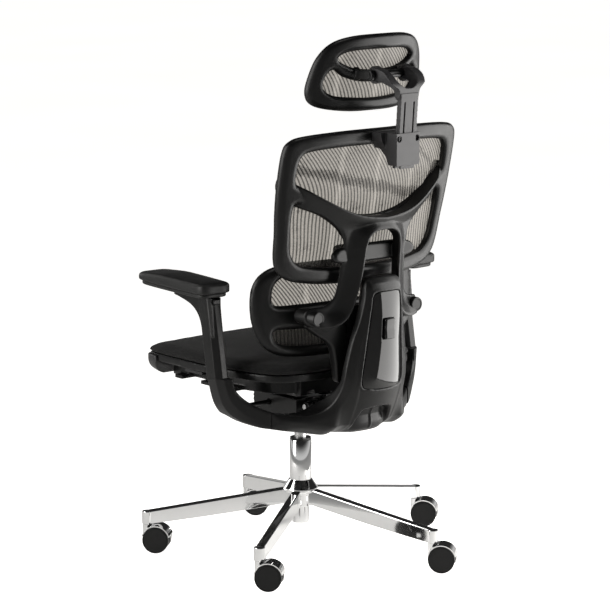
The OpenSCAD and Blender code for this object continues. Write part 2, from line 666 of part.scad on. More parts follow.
// A castor's own frame: stem on the Z axis, trailing along +X, axle along Y
module at_castor(i) rotate([0, 0, castor_place(i)]) translate([base_r, 0, 0])
    rotate([0, 0, castor_turn - castor_place(i)]) children();
module ring_part(r0, r1, w) rotate([90, 0, 0]) translate([0, 0, -w / 2]) difference() {
    cylinder(r = r1, h = w);
    translate([0, 0, -1]) cylinder(r = r0, h = w + 2);
}
module castor_fork(i) color(chrome) at_castor(i) difference() {
    union() {
        translate([0, 0, 34]) cylinder(r = 11, h = socket_z - 0.6 - 34);
        intersection() {
            translate([trail, 0, wheel_r]) ring_part(wheel_r + 1.2, wheel_r + 3.2, castor_w - 4);
            block(-40, 60, -30, 30, wheel_r + 8, 100);
        }
        intersection() {
            rod_y(trail, -web_t, web_t, wheel_r, wheel_r + 3);
            block(-40, 60, -30, 30, wheel_r - 9, 100);
        }
    }
    translate([0, 0, 38]) cylinder(r = stem_r, h = 50);
    rod_y(trail, -10, 10, wheel_r, 4);
    translate([trail, 0, wheel_r]) for (s = [-1, 1]) translate([0, s * (castor_w / 4 + web_t), 0])
        ring_part(0, wheel_r + 1, castor_w / 2);
}
module castor_pins(i) color(steel) at_castor(i) {
    translate([0, 0, 38]) cylinder(r = stem_r, h = stem_top - 38);
    rod_y(trail, -castor_w / 2 + 6, castor_w / 2 - 6, wheel_r, 4);
}
module castor_wheels(i) color(black) at_castor(i) translate([trail, 0, wheel_r])
    for (s = [-1, 1]) rotate([0, 0, s > 0 ? 0 : 180]) rotate([-90, 0, 0]) difference() {
        translate([0, 0, web_t + 0.5]) cylinder(r = wheel_r, h = castor_w / 2 - web_t - 0.5);
        translate([0, 0, web_t]) cylinder(r = 4 + fit, h = castor_w / 2 - web_t - 5);
        translate([0, 0, castor_w / 2 - 1]) difference() {
            cylinder(r = wheel_r - 2, h = 2);
            cylinder(r = wheel_r - 3, h = 2);
        }
    }

// ---------------------------------------------------------------- assembly
base_star();
column_tube();
guide_bush();
piston_rod();
thrust_bearing();
retaining_clip();
gas_cylinder();
mechanism_housing();
mechanism_pins();
recline_spring();
lift_lever();
tilt_lever();
tension_knob();
seat_frame();
seat_pan();
seat_trim();
seat_cushion();
slide_lever();
back_yoke();
back_bracket();
rear_panel();
height_button();
arm_bracket_left();
arm_bracket_right();
arm_posts();
back_frame();
back_mesh();
back_slider();
headrest_bracket();
bracket_screws();
lumbar_frame();
lumbar_mesh();
lumbar_pins();
headrest_post();
headrest_shaft();
headrest_frame();
headrest_mesh();
arm_upright_left();
arm_upright_right();
arm_trigger_left();
arm_trigger_right();
pad_carrier_left();
pad_carrier_right();
arm_pad_left();
arm_pad_right();
for (i = [1:5]) {
    castor_fork(i);
    castor_pins(i);
    castor_wheels(i);
}
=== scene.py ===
"""Swivel office chair: the visual model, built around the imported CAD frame."""

import json
import math

import bmesh
import bpy
import numpy as np
from mathutils import Matrix, Vector, geometry


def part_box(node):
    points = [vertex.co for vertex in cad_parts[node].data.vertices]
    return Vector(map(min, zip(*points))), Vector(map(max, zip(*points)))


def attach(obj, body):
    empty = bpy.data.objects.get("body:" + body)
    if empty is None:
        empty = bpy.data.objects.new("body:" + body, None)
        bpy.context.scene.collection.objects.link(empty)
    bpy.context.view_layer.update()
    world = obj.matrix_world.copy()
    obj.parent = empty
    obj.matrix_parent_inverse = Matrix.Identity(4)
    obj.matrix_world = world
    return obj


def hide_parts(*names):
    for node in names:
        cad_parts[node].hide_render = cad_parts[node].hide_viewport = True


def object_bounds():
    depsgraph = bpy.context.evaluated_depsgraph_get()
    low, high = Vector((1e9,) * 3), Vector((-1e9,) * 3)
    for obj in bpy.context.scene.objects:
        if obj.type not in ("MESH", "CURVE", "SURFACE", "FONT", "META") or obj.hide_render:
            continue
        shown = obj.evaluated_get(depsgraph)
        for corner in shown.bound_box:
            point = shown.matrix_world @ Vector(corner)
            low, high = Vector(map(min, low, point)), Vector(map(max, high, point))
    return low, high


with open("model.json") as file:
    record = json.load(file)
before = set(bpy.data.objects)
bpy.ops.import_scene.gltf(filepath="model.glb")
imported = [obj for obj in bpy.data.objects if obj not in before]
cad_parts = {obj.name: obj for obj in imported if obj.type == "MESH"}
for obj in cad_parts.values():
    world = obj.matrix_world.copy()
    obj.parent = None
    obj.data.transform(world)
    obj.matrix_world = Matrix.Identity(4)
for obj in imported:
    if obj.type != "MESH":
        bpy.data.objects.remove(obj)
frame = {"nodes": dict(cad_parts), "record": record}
cad_box = [list(corner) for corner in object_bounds()]
MM = 0.001
CHUNK = 2000          # points worked on at a time


def box_mm(node):
    """The low and high corners of a CAD node's box, in millimetres."""
    return [np.array(corner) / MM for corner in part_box(node)]


# ---------------------------------------------------------------- curves and fields, in millimetres
def curve(points, closed=True, steps=8):
    """A Catmull-Rom spline through the points."""
    p = np.array(points, float)
    n = len(p)
    out = []
    for i in range(n if closed else n - 1):
        a, b, c, d = (p[(i + k) % n] if closed else p[min(max(i + k, 0), n - 1)] for k in (-1, 0, 1, 2))
        for k in range(steps):
            t = k / steps
            out.append(0.5 * (2 * b + (c - a) * t + (2 * a - 5 * b + 4 * c - d) * t * t
                              + (3 * b - a - 3 * c + d) * t ** 3))
    if not closed:
        out.append(p[-1])
    return np.array(out)


def whole(half):
    """A half outline with its mirror image, as a closed spline."""
    return curve(list(half) + [(-x, z) for x, z in reversed(half) if x > 0.01])


def mirror(points):
    """The points on the chair's other side, in reverse order."""
    p = np.array(points, float)
    p[:, 0] *= -1
    return p[::-1]


def resample(loop, pitch):
    """A closed loop with its points about one pitch apart."""
    ring = np.vstack([loop, loop[:1]])
    along = np.concatenate([[0], np.cumsum(np.linalg.norm(np.diff(ring, axis=0), axis=1))])
    n = max(8, int(round(along[-1] / pitch)))
    at = np.linspace(0, along[-1], n, endpoint=False)
    return np.stack([np.interp(at, along, ring[:, k]) for k in range(2)], axis=1)


def segments(loops):
    """The starts and ends of the sides of some closed loops."""
    return np.vstack(loops), np.vstack([np.roll(l, -1, axis=0) for l in loops])


def nearest(p, a, b):
    """The distance from each point to the nearest of the segments that run from a to b."""
    ab = b - a
    out = np.empty(len(p))
    for s in range(0, len(p), CHUNK):
        q = p[s:s + CHUNK, None, :]
        t = np.clip(((q - a) * ab).sum(2) / np.maximum((ab ** 2).sum(1), 1e-12), 0, 1)
        out[s:s + CHUNK] = np.sqrt(((q - a - t[..., None] * ab) ** 2).sum(2).min(1))
    return out


def edge_distance(p, loops):
    """The distance from each point to the nearest of some closed loops."""
    return nearest(p, *segments(loops))


def line_distance(p, lines):
    """The distance from each point to the nearest of some open lines."""
    return nearest(p, np.vstack([l[:-1] for l in lines]), np.vstack([l[1:] for l in lines]))


def inside(p, loops):
    """Whether each point lies inside an outline and outside its holes."""
    a, b = segments(loops)
    out = np.zeros(len(p), bool)
    for s in range(0, len(p), CHUNK):
        q = p[s:s + CHUNK, None, :]
        spans = (a[:, 1] > q[..., 1]) != (b[:, 1] > q[..., 1])
        rise = np.where(np.abs(b[:, 1] - a[:, 1]) < 1e-12, 1e-12, b[:, 1] - a[:, 1])
        cross = a[:, 0] + (q[..., 1] - a[:, 1]) / rise * (b[:, 0] - a[:, 0])
        out[s:s + CHUNK] = (spans & (q[..., 0] < cross)).sum(1) % 2 == 1
    return out


def edge_round(d, radius, depth=None):
    """How far a surface falls back at distance d from its edge, as a quarter round."""
    k = np.clip(1 - d / radius, 0, 1)
    return (radius if depth is None else depth) * (1 - np.sqrt(1 - k * k))


def smooth(t):
    """An S-shaped step from 0 to 1."""
    t = np.clip(t, 0, 1)
    return t * t * (3 - 2 * t)


def curved_wall(radius, y, z, lean, t=0.0):
    """The y of an upright cylinder's face that leans back, as in the CAD."""
    a = math.radians(lean)

    def at(px, pz):
        g = np.sqrt(np.maximum((radius - t) ** 2 - px ** 2, 1.0)) - radius
        return y + math.tan(a) * (pz - z) + g / math.cos(a)
    return at


# ---------------------------------------------------------------- mesh makers
def new_object(name, verts, faces):
    """A smooth-shaded object from vertices in millimetres."""
    mesh = bpy.data.meshes.new(name)
    mesh.from_pydata([tuple(v) for v in np.asarray(verts, float) * MM], [],
                     [tuple(int(i) for i in f) for f in faces])
    bm = bmesh.new()
    bm.from_mesh(mesh)
    bmesh.ops.remove_doubles(bm, verts=bm.verts, dist=1e-6)
    bmesh.ops.dissolve_degenerate(bm, edges=bm.edges, dist=1e-6)
    bmesh.ops.recalc_face_normals(bm, faces=bm.faces)
    for f in bm.faces:
        f.smooth = True
    bm.to_mesh(mesh)
    bm.free()
    obj = bpy.data.objects.new(name, mesh)
    bpy.context.scene.collection.objects.link(obj)
    return obj


RIMS = (0.7, 1.8, 3.4, 5.5, 8.5, 12.5)     # how far from an edge a plate's rows of points lie


def plate(name, loops, back, front, spacing=6.0, plan=False):
    """A closed plate: its outline and holes lie in x, z (or x, y), and back and front give its two faces
    from a point's place and its distance to the nearest edge."""
    loops = [resample(np.asarray(l, float), min(spacing, 4.0)) for l in loops]
    edges, start = [], 0
    for l in loops:
        n = len(l)
        edges += [(start + i, start + (i + 1) % n) for i in range(n)]
        start += n
    border = np.vstack(loops)
    trial = []
    for l in loops:
        t = np.roll(l, -1, axis=0) - np.roll(l, 1, axis=0)
        normal = np.stack([-t[:, 1], t[:, 0]], axis=1) / np.linalg.norm(t, axis=1)[:, None]
        for r in RIMS:
            trial += [np.c_[l + normal * r, np.full(len(l), r)], np.c_[l - normal * r, np.full(len(l), r)]]
    lo, hi = border.min(0), border.max(0)
    gx, gz = np.meshgrid(np.arange(lo[0], hi[0], spacing), np.arange(lo[1], hi[1], spacing * 0.87))
    gx[1::2] += spacing / 2
    trial.append(np.c_[gx.ravel(), gz.ravel(), np.full(gx.size, RIMS[-1] + spacing * 0.6)])
    trial = np.vstack(trial)
    trial = trial[inside(trial[:, :2], loops)]
    trial = trial[edge_distance(trial[:, :2], loops) > trial[:, 2] * 0.93]
    taken, kept = set(), []
    for x, z, r in trial:
        pitch = max(0.6, min(r * 0.5, spacing * 0.6))
        cell = (round(x / pitch), round(z / pitch), round(pitch * 10))
        if cell not in taken:
            taken.add(cell)
            kept.append((x, z))
    flat = [Vector(v) for v in border] + [Vector(v) for v in kept]
    verts, _, tris, *_ = geometry.delaunay_2d_cdt(flat, edges, [], 0, 1e-6)
    p = np.array([tuple(v) for v in verts])
    tri = np.array([list(t) for t in tris if len(t) == 3])
    tri = tri[inside(p[tri].mean(1), loops)]
    d = edge_distance(p, loops)
    wb, wf = back(p[:, 0], p[:, 1], d), front(p[:, 0], p[:, 1], d)
    n = len(p)
    place = (lambda w: np.c_[p, w]) if plan else (lambda w: np.c_[p[:, 0], w, p[:, 1]])
    count = {}
    for t in tri:
        for k in range(3):
            e = (t[k], t[(k + 1) % 3])
            key = (min(e), max(e))
            count[key] = None if key in count else e
    faces = [tuple(t) for t in tri] + [tuple(t[::-1] + n) for t in tri]
    faces += [(e[1], e[0], e[0] + n, e[1] + n) for e in count.values() if e is not None]
    return new_object(name, np.vstack([place(wb), place(wf)]), faces)


def loft(name, rings):
    """Skins a row of equal rings, with capped ends."""
    m = len(rings[0])
    faces = []
    for i in range(len(rings) - 1):
        j = i + 1
        faces += [(i * m + k, i * m + (k + 1) % m, j * m + (k + 1) % m, j * m + k) for k in range(m)]
    faces += [tuple(range(m))[::-1], tuple(range((len(rings) - 1) * m, len(rings) * m))]
    return new_object(name, np.vstack(rings), faces)


def lathe(name, profile, origin=(0, 0, 0), axis=(0, 0, 1), steps=64):
    """Turns a profile of (radius, height) about an axis through origin."""
    turn = Vector((0, 0, 1)).rotation_difference(Vector(axis)).to_matrix()
    rings = []
    for r, h in profile:
        ring = [turn @ Vector((max(r, 0.001) * math.cos(a), max(r, 0.001) * math.sin(a), h)) + Vector(origin)
                for a in np.linspace(0, 2 * math.pi, steps, endpoint=False)]
        rings.append(np.array([tuple(v) for v in ring]))
    return loft(name, rings)


def cad_copy(node, name):
    """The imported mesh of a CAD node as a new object, to be worked on."""
    source = frame["nodes"][node]
    obj = bpy.data.objects.new(name, source.data.copy())
    obj.data.transform(source.matrix_world)
    obj.data.materials.clear()
    bpy.context.scene.collection.objects.link(obj)
    return obj


def baked(obj, *steps):
    """Adds modifiers, each (kind, settings), and keeps their result as the object's mesh."""
    for kind, settings in steps:
        m = obj.modifiers.new(kind, kind)
        for key, value in settings.items():
            setattr(m, key, value)
    bpy.context.view_layer.update()
    deps = bpy.context.evaluated_depsgraph_get()
    mesh = bpy.data.meshes.new_from_object(obj.evaluated_get(deps), depsgraph=deps)
    obj.modifiers.clear()
    obj.data = mesh
    return obj


def joined(name, objects):
    """One object made of several, which it takes the place of."""
    bm = bmesh.new()
    for o in objects:
        o.data.transform(o.matrix_world)
        bm.from_mesh(o.data)
        bpy.data.objects.remove(o)
    mesh = bpy.data.meshes.new(name)
    bm.to_mesh(mesh)
    bm.free()
    obj = bpy.data.objects.new(name, mesh)
    bpy.context.scene.collection.objects.link(obj)
    return obj


def shade(obj):
    """Smooth shading all over."""
    obj.data.polygons.foreach_set("use_smooth", [True] * len(obj.data.polygons))
    obj.data.update()
    return obj


def crisp(obj, angle=32):
    """Smooth shading that breaks at edges sharper than the angle."""
    shade(obj)
    obj.data.set_sharp_from_angle(angle=math.radians(angle))
    return obj


def moulded(name, objects, voxel, passes):
    """Fuses overlapping shapes into one moulding with softened edges."""
    obj = joined(name, objects)
    baked(obj, ("REMESH", {"mode": "VOXEL", "voxel_size": voxel * MM}),
          ("SMOOTH", {"factor": 0.5, "iterations": passes}))
    return shade(obj)


def softened(node, name, voxel, passes):
    """A CAD solid as a moulding with softened edges."""
    return moulded(name, [cad_copy(node, name + ".cad")], voxel, passes)


def bevelled(node, name, width):
    """A CAD solid with small rounded edges."""
    obj = cad_copy(node, name)
    bm = bmesh.new()
    bm.from_mesh(obj.data)
    bmesh.ops.remove_doubles(bm, verts=bm.verts, dist=1e-5)
    bmesh.ops.dissolve_limit(bm, angle_limit=math.radians(1), verts=bm.verts, edges=bm.edges)
    bm.to_mesh(obj.data)
    bm.free()
    baked(obj, ("BEVEL", {"width": width * MM, "segments": 3, "limit_method": "ANGLE",
                          "angle_limit": math.radians(28), "harden_normals": False,
                          "use_clamp_overlap": True}))
    shade(obj)
    return baked(obj, ("WEIGHTED_NORMAL", {"keep_sharp": False}))


# ---------------------------------------------------------------- materials
class Tree:
    """A node tree with a few helpers."""

    def __init__(self, tree):
        self.t = tree

    def feed(self, socket, value):
        """Links a value to a socket, or sets it there if it is plain."""
        if isinstance(value, bpy.types.NodeSocket):
            self.t.links.new(value, socket)
        else:
            socket.default_value = value

    def node(self, kind, **inputs):
        n = self.t.nodes.new(kind)
        for key, value in inputs.items():
            if key in n.inputs:
                self.feed(n.inputs[key], value)
            else:
                setattr(n, key, value)
        return n

    def span(self, fac, lo, hi, start=0.0, end=1.0):
        n = self.node("ShaderNodeMapRange", Value=fac)
        for key, value in zip(("From Min", "From Max", "To Min", "To Max"), (start, end, lo, hi)):
            n.inputs[key].default_value = value
        return n.outputs["Result"]

    def math(self, op, a, b=None):
        n = self.node("ShaderNodeMath", operation=op)
        for socket, value in zip(n.inputs, (a, b)):
            if value is not None:
                self.feed(socket, value)
        return n.outputs["Value"]


class Mat(Tree):
    """A material whose texture coordinates are the object's own."""

    def __init__(self, name):
        self.m = bpy.data.materials.new(name)
        self.m.use_nodes = True
        super().__init__(self.m.node_tree)
        self.p = self.t.nodes["Principled BSDF"]
        self.coords = self.node("ShaderNodeTexCoord").outputs["Object"]

    def drive(self, name, value):
        """Feeds one of the shader's own inputs."""
        self.feed(self.p.inputs[name], value)

    def noise(self, scale, detail=3.0, rough=0.5, vector=None):
        return self.node("ShaderNodeTexNoise", Scale=scale, Detail=detail, Roughness=rough,
                         Vector=vector or self.coords).outputs["Fac"]

    def stretch(self, x, y, z):
        return self.node("ShaderNodeMapping", Scale=(x, y, z), Vector=self.coords).outputs["Vector"]

    def ramp(self, fac, stops):
        n = self.t.nodes.new("ShaderNodeValToRGB")
        for stop, (at, colour) in zip(n.color_ramp.elements, stops):
            stop.position, stop.color = at, (*colour, 1)
        self.feed(n.inputs["Fac"], fac)
        return n.outputs["Color"]

    def bump(self, height, strength, distance, before=None):
        n = self.node("ShaderNodeBump", Strength=strength, Distance=distance, Height=height)
        if before is not None:
            self.feed(n.inputs["Normal"], before)
        return n.outputs["Normal"]


def grey(v, tint=(1.0, 1.0, 1.0)):
    return tuple(v * t for t in tint)


GRAIN_SCALE = 1500.0     # how fine the plastics' spark-eroded grain is


def moulded_plastic(name, dark, light, rough, grain=0.25, gloss=0.26):
    """Satin injection-moulded plastic: fine spark-eroded grain, faint flow marks, rubbed edges."""
    m = Mat(name)
    flow = m.noise(9.0, 4.0, 0.6)
    m.drive("Base Color", m.ramp(flow, [(0.3, dark), (0.7, light)]))
    rub = m.noise(38.0, 5.0, 0.7)
    m.drive("Roughness", m.span(rub, rough - 0.045, rough + 0.055, 0.3, 0.7))
    fine = m.noise(GRAIN_SCALE, 2.0, 0.5)
    wide = m.noise(GRAIN_SCALE / 6, 2.0, 0.5)
    m.drive("Normal", m.bump(fine, grain, 0.00012, m.bump(wide, 0.06, 0.0004)))
    m.drive("Specular IOR Level", gloss)
    return m.m


def chrome_plate(name):
    """Bright chrome with faint smears and a slight unevenness."""
    m = Mat(name)
    smear = m.noise(14.0, 5.0, 0.65)
    m.drive("Roughness", m.span(smear, 0.035, 0.085, 0.35, 0.7))
    tone = m.ramp(smear, [(0.2, grey(0.80, (1.0, 1.005, 1.01))), (0.8, grey(0.86))])
    m.drive("Base Color", tone)
    m.drive("Normal", m.bump(m.noise(42.0, 2.0), 0.05, 0.0006))
    m.drive("Metallic", 1.0)
    return m.m


def ground_steel(name):
    """Steel with fine grinding lines round it."""
    m = Mat(name)
    lines = m.noise(60.0, 4.0, 0.6, m.stretch(1, 1, 30))
    m.drive("Roughness", m.span(lines, 0.22, 0.42, 0.3, 0.7))
    m.drive("Base Color", m.ramp(lines, [(0.2, grey(0.42)), (0.8, grey(0.60))]))
    m.drive("Normal", m.bump(lines, 0.12, 0.0002))
    m.drive("Metallic", 1.0)
    return m.m


def gloss_lacquer(name):
    """Black gloss lacquer with a slight haze."""
    m = Mat(name)
    haze = m.noise(70.0, 4.0, 0.6)
    m.drive("Roughness", m.span(haze, 0.03, 0.075, 0.35, 0.75))
    m.drive("Base Color", m.ramp(haze, [(0.3, grey(0.002)), (0.8, grey(0.004))]))
    m.drive("Normal", m.bump(m.noise(30.0, 1.0), 0.04, 0.0005))
    m.drive("Specular IOR Level", 0.36)
    m.drive("Coat Weight", 0.15)
    m.drive("Coat Roughness", 0.03)
    return m.m


def soft_skin(name):
    """Self-skinned polyurethane with a fine leather grain."""
    m = Mat(name)
    cells = m.node("ShaderNodeTexVoronoi", Scale=900.0, Vector=m.coords)
    pores = m.noise(2600.0, 2.0)
    rub = m.noise(30.0, 4.0, 0.6)
    m.drive("Base Color", m.ramp(rub, [(0.3, grey(0.005)), (0.75, grey(0.009))]))
    m.drive("Roughness", m.span(rub, 0.42, 0.56, 0.3, 0.7))
    m.drive("Normal", m.bump(cells.outputs["Distance"], 0.22, 0.0002, m.bump(pores, 0.12, 0.0001)))
    m.drive("Specular IOR Level", 0.32)
    return m.m


CLOTH_THREAD = 0.0013     # pitch of the seat cloth's threads, in metres


def seat_cloth(name):
    """Black woven upholstery: crossed threads, slubs and a soft sheen."""
    m = Mat(name)
    split = m.node("ShaderNodeSeparateXYZ", Vector=m.coords)
    pitch = 2 * math.pi / CLOTH_THREAD
    warp = m.math("SINE", m.math("MULTIPLY", split.outputs["X"], pitch))
    weft = m.math("SINE", m.math("MULTIPLY", split.outputs["Y"], pitch))
    weave = m.math("MULTIPLY", warp, weft)
    slub = m.noise(420.0, 3.0, 0.6, m.stretch(1, 0.12, 1))
    mixed = m.math("ADD", m.span(weave, 0.0, 0.5, -1.0, 1.0), m.span(slub, 0.0, 0.5, 0.3, 0.7))
    tone = m.ramp(mixed, [(0.1, grey(0.0025)), (0.9, grey(0.0075, (1.0, 0.99, 0.98)))])
    m.drive("Base Color", tone)
    m.drive("Roughness", m.span(m.noise(12.0, 3.0), 0.72, 0.88, 0.3, 0.7))
    m.drive("Normal", m.bump(weave, 0.35, 0.0003, m.bump(m.noise(60.0, 3.0), 0.15, 0.0006)))
    m.drive("Sheen Weight", 0.05)
    m.drive("Sheen Roughness", 0.5)
    m.drive("Specular IOR Level", 0.2)
    return m.m


RIB = 0.0088          # pitch of the mesh's ribs, in metres
THREAD = 0.0011       # pitch of its cross threads
RIB_LEAN = 0.06       # lean of the ribs low down
RIB_BEND = 3.5        # how fast they lean over above RIB_BEND_Z
RIB_BEND_Z = 0.83
STAYS = (1.094, 0.992, 0.885)     # where the paler stays run, in the sheet's u
BANDS = ((0.868, 0.235, 0.011), (1.045, 0.80, 0.006))   # the dark bands: height at u = 1, slope, half width
COVER = (0.62, 0.90)  # the share that thread covers, between the ribs and on them
STAY_GAIN, BAND_GAIN = 0.12, 0.22     # how much less is covered on a stay, and how much more on a band


def rib_mesh(name, bands):
    """See-through elastic mesh, from the sheet's own UVs in metres: curved ribs, fine cross threads,
    paler stays, and the dark bands and patches where two layers of thread beat together."""
    m = Mat(name)
    uv = m.node("ShaderNodeTexCoord").outputs["UV"]
    split = m.node("ShaderNodeSeparateXYZ", Vector=uv)
    u, v = split.outputs["X"], split.outputs["Y"]
    sway = m.math("MULTIPLY", m.math("SUBTRACT", m.noise(6.0, 1.0, 0.4, uv), 0.5), 0.022)
    over = m.math("MAXIMUM", m.math("SUBTRACT", v, RIB_BEND_Z), 0.0)
    bend = m.math("MULTIPLY", m.math("MULTIPLY", over, over), RIB_BEND)
    lean = m.math("ADD", m.math("MULTIPLY", v, RIB_LEAN), bend)
    along = m.math("ADD", m.math("SUBTRACT", u, lean), sway)
    rows = m.math("SINE", m.math("MULTIPLY", along, 2 * math.pi / RIB))
    rib = m.span(rows, 0.0, 1.0, -0.35, 0.85)
    cross = m.span(m.math("SINE", m.math("MULTIPLY", v, 2 * math.pi / THREAD)), 0.0, 1.0, -1.0, 1.0)
    speck = m.span(m.noise(260.0, 2.0, 0.6, uv), -0.05, 0.05, 0.3, 0.7)
    beat = m.span(m.noise(13.0, 5.0, 0.85, uv), 0.0, 1.0, 0.55, 0.68)
    cover = m.math("ADD", m.span(rib, *COVER), m.math("MULTIPLY", cross, 0.05))
    cover = m.math("ADD", m.math("ADD", cover, m.math("MULTIPLY", beat, 0.13)), speck)
    wander = m.math("MULTIPLY", m.math("SUBTRACT", m.noise(16.0, 3.0, 0.7, uv), 0.5), 0.03)
    for at in STAYS:
        off = m.math("ABSOLUTE", m.math("ADD", m.math("SUBTRACT", u, at), m.math("MULTIPLY", wander, 0.5)))
        stay = m.span(off, 1.0, 0.0, 0.002, 0.009)
        cover = m.math("SUBTRACT", cover, m.math("MULTIPLY", stay, STAY_GAIN))
    if bands:
        ragged = m.math("MULTIPLY", m.math("SUBTRACT", m.noise(150.0, 3.0, 0.8, uv), 0.5), 0.030)
        for height, slope, half in BANDS:
            line = m.math("ADD", m.math("MULTIPLY", m.math("SUBTRACT", u, 1.0), slope), height)
            above = m.math("ADD", m.math("SUBTRACT", v, line), wander)
            off = m.math("ABSOLUTE", m.math("ADD", above, ragged))
            band = m.span(off, 1.0, 0.0, half * 0.5, half * 1.4)
            cover = m.math("ADD", cover, m.math("MULTIPLY", band, BAND_GAIN))
    cover.node.use_clamp = True
    tint = m.ramp(rib, [(0.1, (0.080, 0.074, 0.065)), (0.9, (0.020, 0.018, 0.016))])
    m.drive("Base Color", tint)
    m.drive("Roughness", 0.75)
    m.drive("Normal", m.bump(m.math("ADD", rib, m.math("MULTIPLY", cross, 0.4)), 0.4, 0.0004))
    clear = m.node("ShaderNodeBsdfTransparent", Color=(0.97, 0.92, 0.85, 1))
    mix = m.node("ShaderNodeMixShader")
    for socket, source in zip(mix.inputs, (cover, clear.outputs[0], m.p.outputs[0])):
        m.feed(socket, source)
    m.feed(m.t.nodes["Material Output"].inputs["Surface"], mix.outputs[0])
    return m.m


MESH, PLAIN_MESH = rib_mesh("mesh_fabric", True), rib_mesh("mesh_fabric_plain", False)
TINT = (1.0, 0.98, 1.03)      # the charcoal parts' faint violet
BY_SLOT = {
    "black_plastic": moulded_plastic("black_plastic", grey(0.0045), grey(0.0070), 0.33),
    "grey_plastic": moulded_plastic("grey_plastic", grey(0.020, TINT), grey(0.027, TINT), 0.40, gloss=0.4),
    "wheel_plastic": moulded_plastic("wheel_plastic", grey(0.007), grey(0.010), 0.45, grain=0.2),
    "chrome": chrome_plate("chrome"),
    "steel": ground_steel("steel"),
    "gloss_plastic": gloss_lacquer("gloss_plastic"),
    "soft_pad": soft_skin("soft_pad"),
    "seat_fabric": seat_cloth("seat_fabric"),
    "mesh_fabric": MESH,
}
for part in frame["record"]["subparts"]:
    node = frame["nodes"][part["node"]]
    node.data.materials.clear()
    slot = "black_plastic" if part["node"] == "back_slider" else part["material_slot"]
    node.data.materials.append(BY_SLOT[slot])


def piece(obj, body, slot, *nodes):
    """Finishes a piece: its material, the body it rides on and the CAD nodes it stands for."""
    if not obj.data.materials:
        obj.data.materials.append(BY_SLOT[slot])
    if nodes:
        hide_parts(*nodes)
    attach(obj, body)
    return obj


# ---------------------------------------------------------------- back frame, in mm
BACK = dict(radius=800, y=295, z=998, lean=12)
BACK_T = 20
ring_half = [(0, 998), (110, 997), (200, 991), (234, 981), (247, 956), (248, 881), (244, 820), (239, 777),
             (234, 722), (223, 692), (196, 670), (150, 659), (90, 653), (0, 651)]
top_cell = [(0, 962), (110, 961), (185, 955), (206, 944), (212, 918), (211, 890), (204, 880), (150, 850),
            (80, 816), (0, 804)]
lower_cell = [(0, 800), (90, 800), (150, 822), (200, 842), (209, 826), (207, 780), (200, 732), (180, 706),
              (150, 697), (90, 691), (0, 689)]
brace_top = [(0, 804), (80, 816), (150, 850), (205, 884), (226, 900)]
brace_outer = [(230, 870), (205, 840), (150, 814), (116, 790), (98, 770), (91, 745), (92, 715), (94, 685),
               (97, 652), (103, 628), (118, 612), (140, 606), (158, 602), (165, 586), (158, 569)]
brace_inner = [(140, 563), (112, 562), (84, 574), (67, 600), (58, 636), (51, 674), (48, 715), (46, 740),
               (39, 761), (22, 772), (0, 774)]
brace_half = brace_top + brace_outer + brace_inner
plate_half = [(0, 742), (70, 741), (104, 735), (118, 721), (106, 706), (60, 701), (0, 701)]
PLATE_Y = (237, 254)
BRACE = dict(radius=400, y=290, z=770, lean=8)
BRACE_T, LEG_T = 36, 26
carrier_loop = [(60, 436), (74, 436), (84, 479), (99, 520), (136, 548), (152, 566), (124, 576), (98, 586),
                (74, 574), (62, 545), (60, 490)]
CARRIER = dict(radius=380, y=269, z=770, lean=8)
KNOB = dict(x=144, z=584, r=16.5, y0=166, y1=233)


def wall_plate(name, loops, wall, thick, r_back, r_front, spacing=6.0):
    """A plate that follows a curved wall, with its edges rounded behind and in front."""
    rear, face = curved_wall(**wall), curved_wall(**wall, t=thick)
    return plate(name, loops, lambda x, z, d: rear(x, z) - edge_round(d, r_back),
                 lambda x, z, d: face(x, z) + edge_round(d, r_front), spacing)


def carriers():
    """The two arms that run from the spine out to the lumbar knobs, in front of the spine."""
    return [wall_plate("carrier", [curve([(s * x, z) for x, z in carrier_loop])], CARRIER, 20, 4, 4)
            for s in (-1, 1)]


def brace():
    """The Y brace: its rear face falls away from the upper and inner edges, so the legs have a keel."""
    rear = curved_wall(**BRACE)
    deep, shallow = curved_wall(**BRACE, t=BRACE_T), curved_wall(**BRACE, t=LEG_T)
    keels = [curve(brace_top, False), curve(brace_inner, False)]
    keels += [k * (-1, 1) for k in keels]

    def back(x, z, d):
        off = line_distance(np.c_[x, z], keels)
        sink = 16.0 * smooth((np.abs(x) - 178) / 46)
        return rear(x, z) - edge_round(d, 5) - 21.0 * smooth((off - 3) / 36) ** 0.8 - sink

    def front(x, z, d):
        share = smooth((z - 752) / 22)
        return shallow(x, z) + (deep(x, z) - shallow(x, z)) * share + edge_round(d, 4)
    return plate("brace", [whole(brace_half)], back, front, 4.0)


def back_frame():
    """The ring, the Y brace, the tie behind the spine's top, the carriers and the two knobs."""
    ring = wall_plate("ring", [whole(ring_half), whole(top_cell), whole(lower_cell)], BACK, BACK_T, 14, 5)
    tie = plate("tie", [whole(plate_half)], lambda x, z, d: PLATE_Y[1] - edge_round(d, 9) + 0 * x,
                lambda x, z, d: PLATE_Y[0] + edge_round(d, 6) + 0 * x, 5.0)
    body = moulded("body", [ring, brace(), tie] + carriers(), 1.7, 3)
    r, length = KNOB["r"], KNOB["y1"] - KNOB["y0"]
    profile = [(0, 0), (r - 3, 0), (r, 3), (r, length - 3), (r - 0.8, length - 1), (r - 2.4, length),
               (r - 4.2, length), (r - 5.0, length - 1.2), (0, length - 1.2)]
    knobs = [lathe("knob", profile, (s * KNOB["x"], KNOB["y0"], KNOB["z"]), (0, 1, 0)) for s in (-1, 1)]
    return crisp(joined("back_frame_moulding", [body] + knobs))


piece(back_frame(), "backrest", "black_plastic", "back_frame")


# ---------------------------------------------------------------- mesh sheets
FLAT_GAIN = 1.04      # a sheet's flat size over its outline's, for the curve and the tucked edge


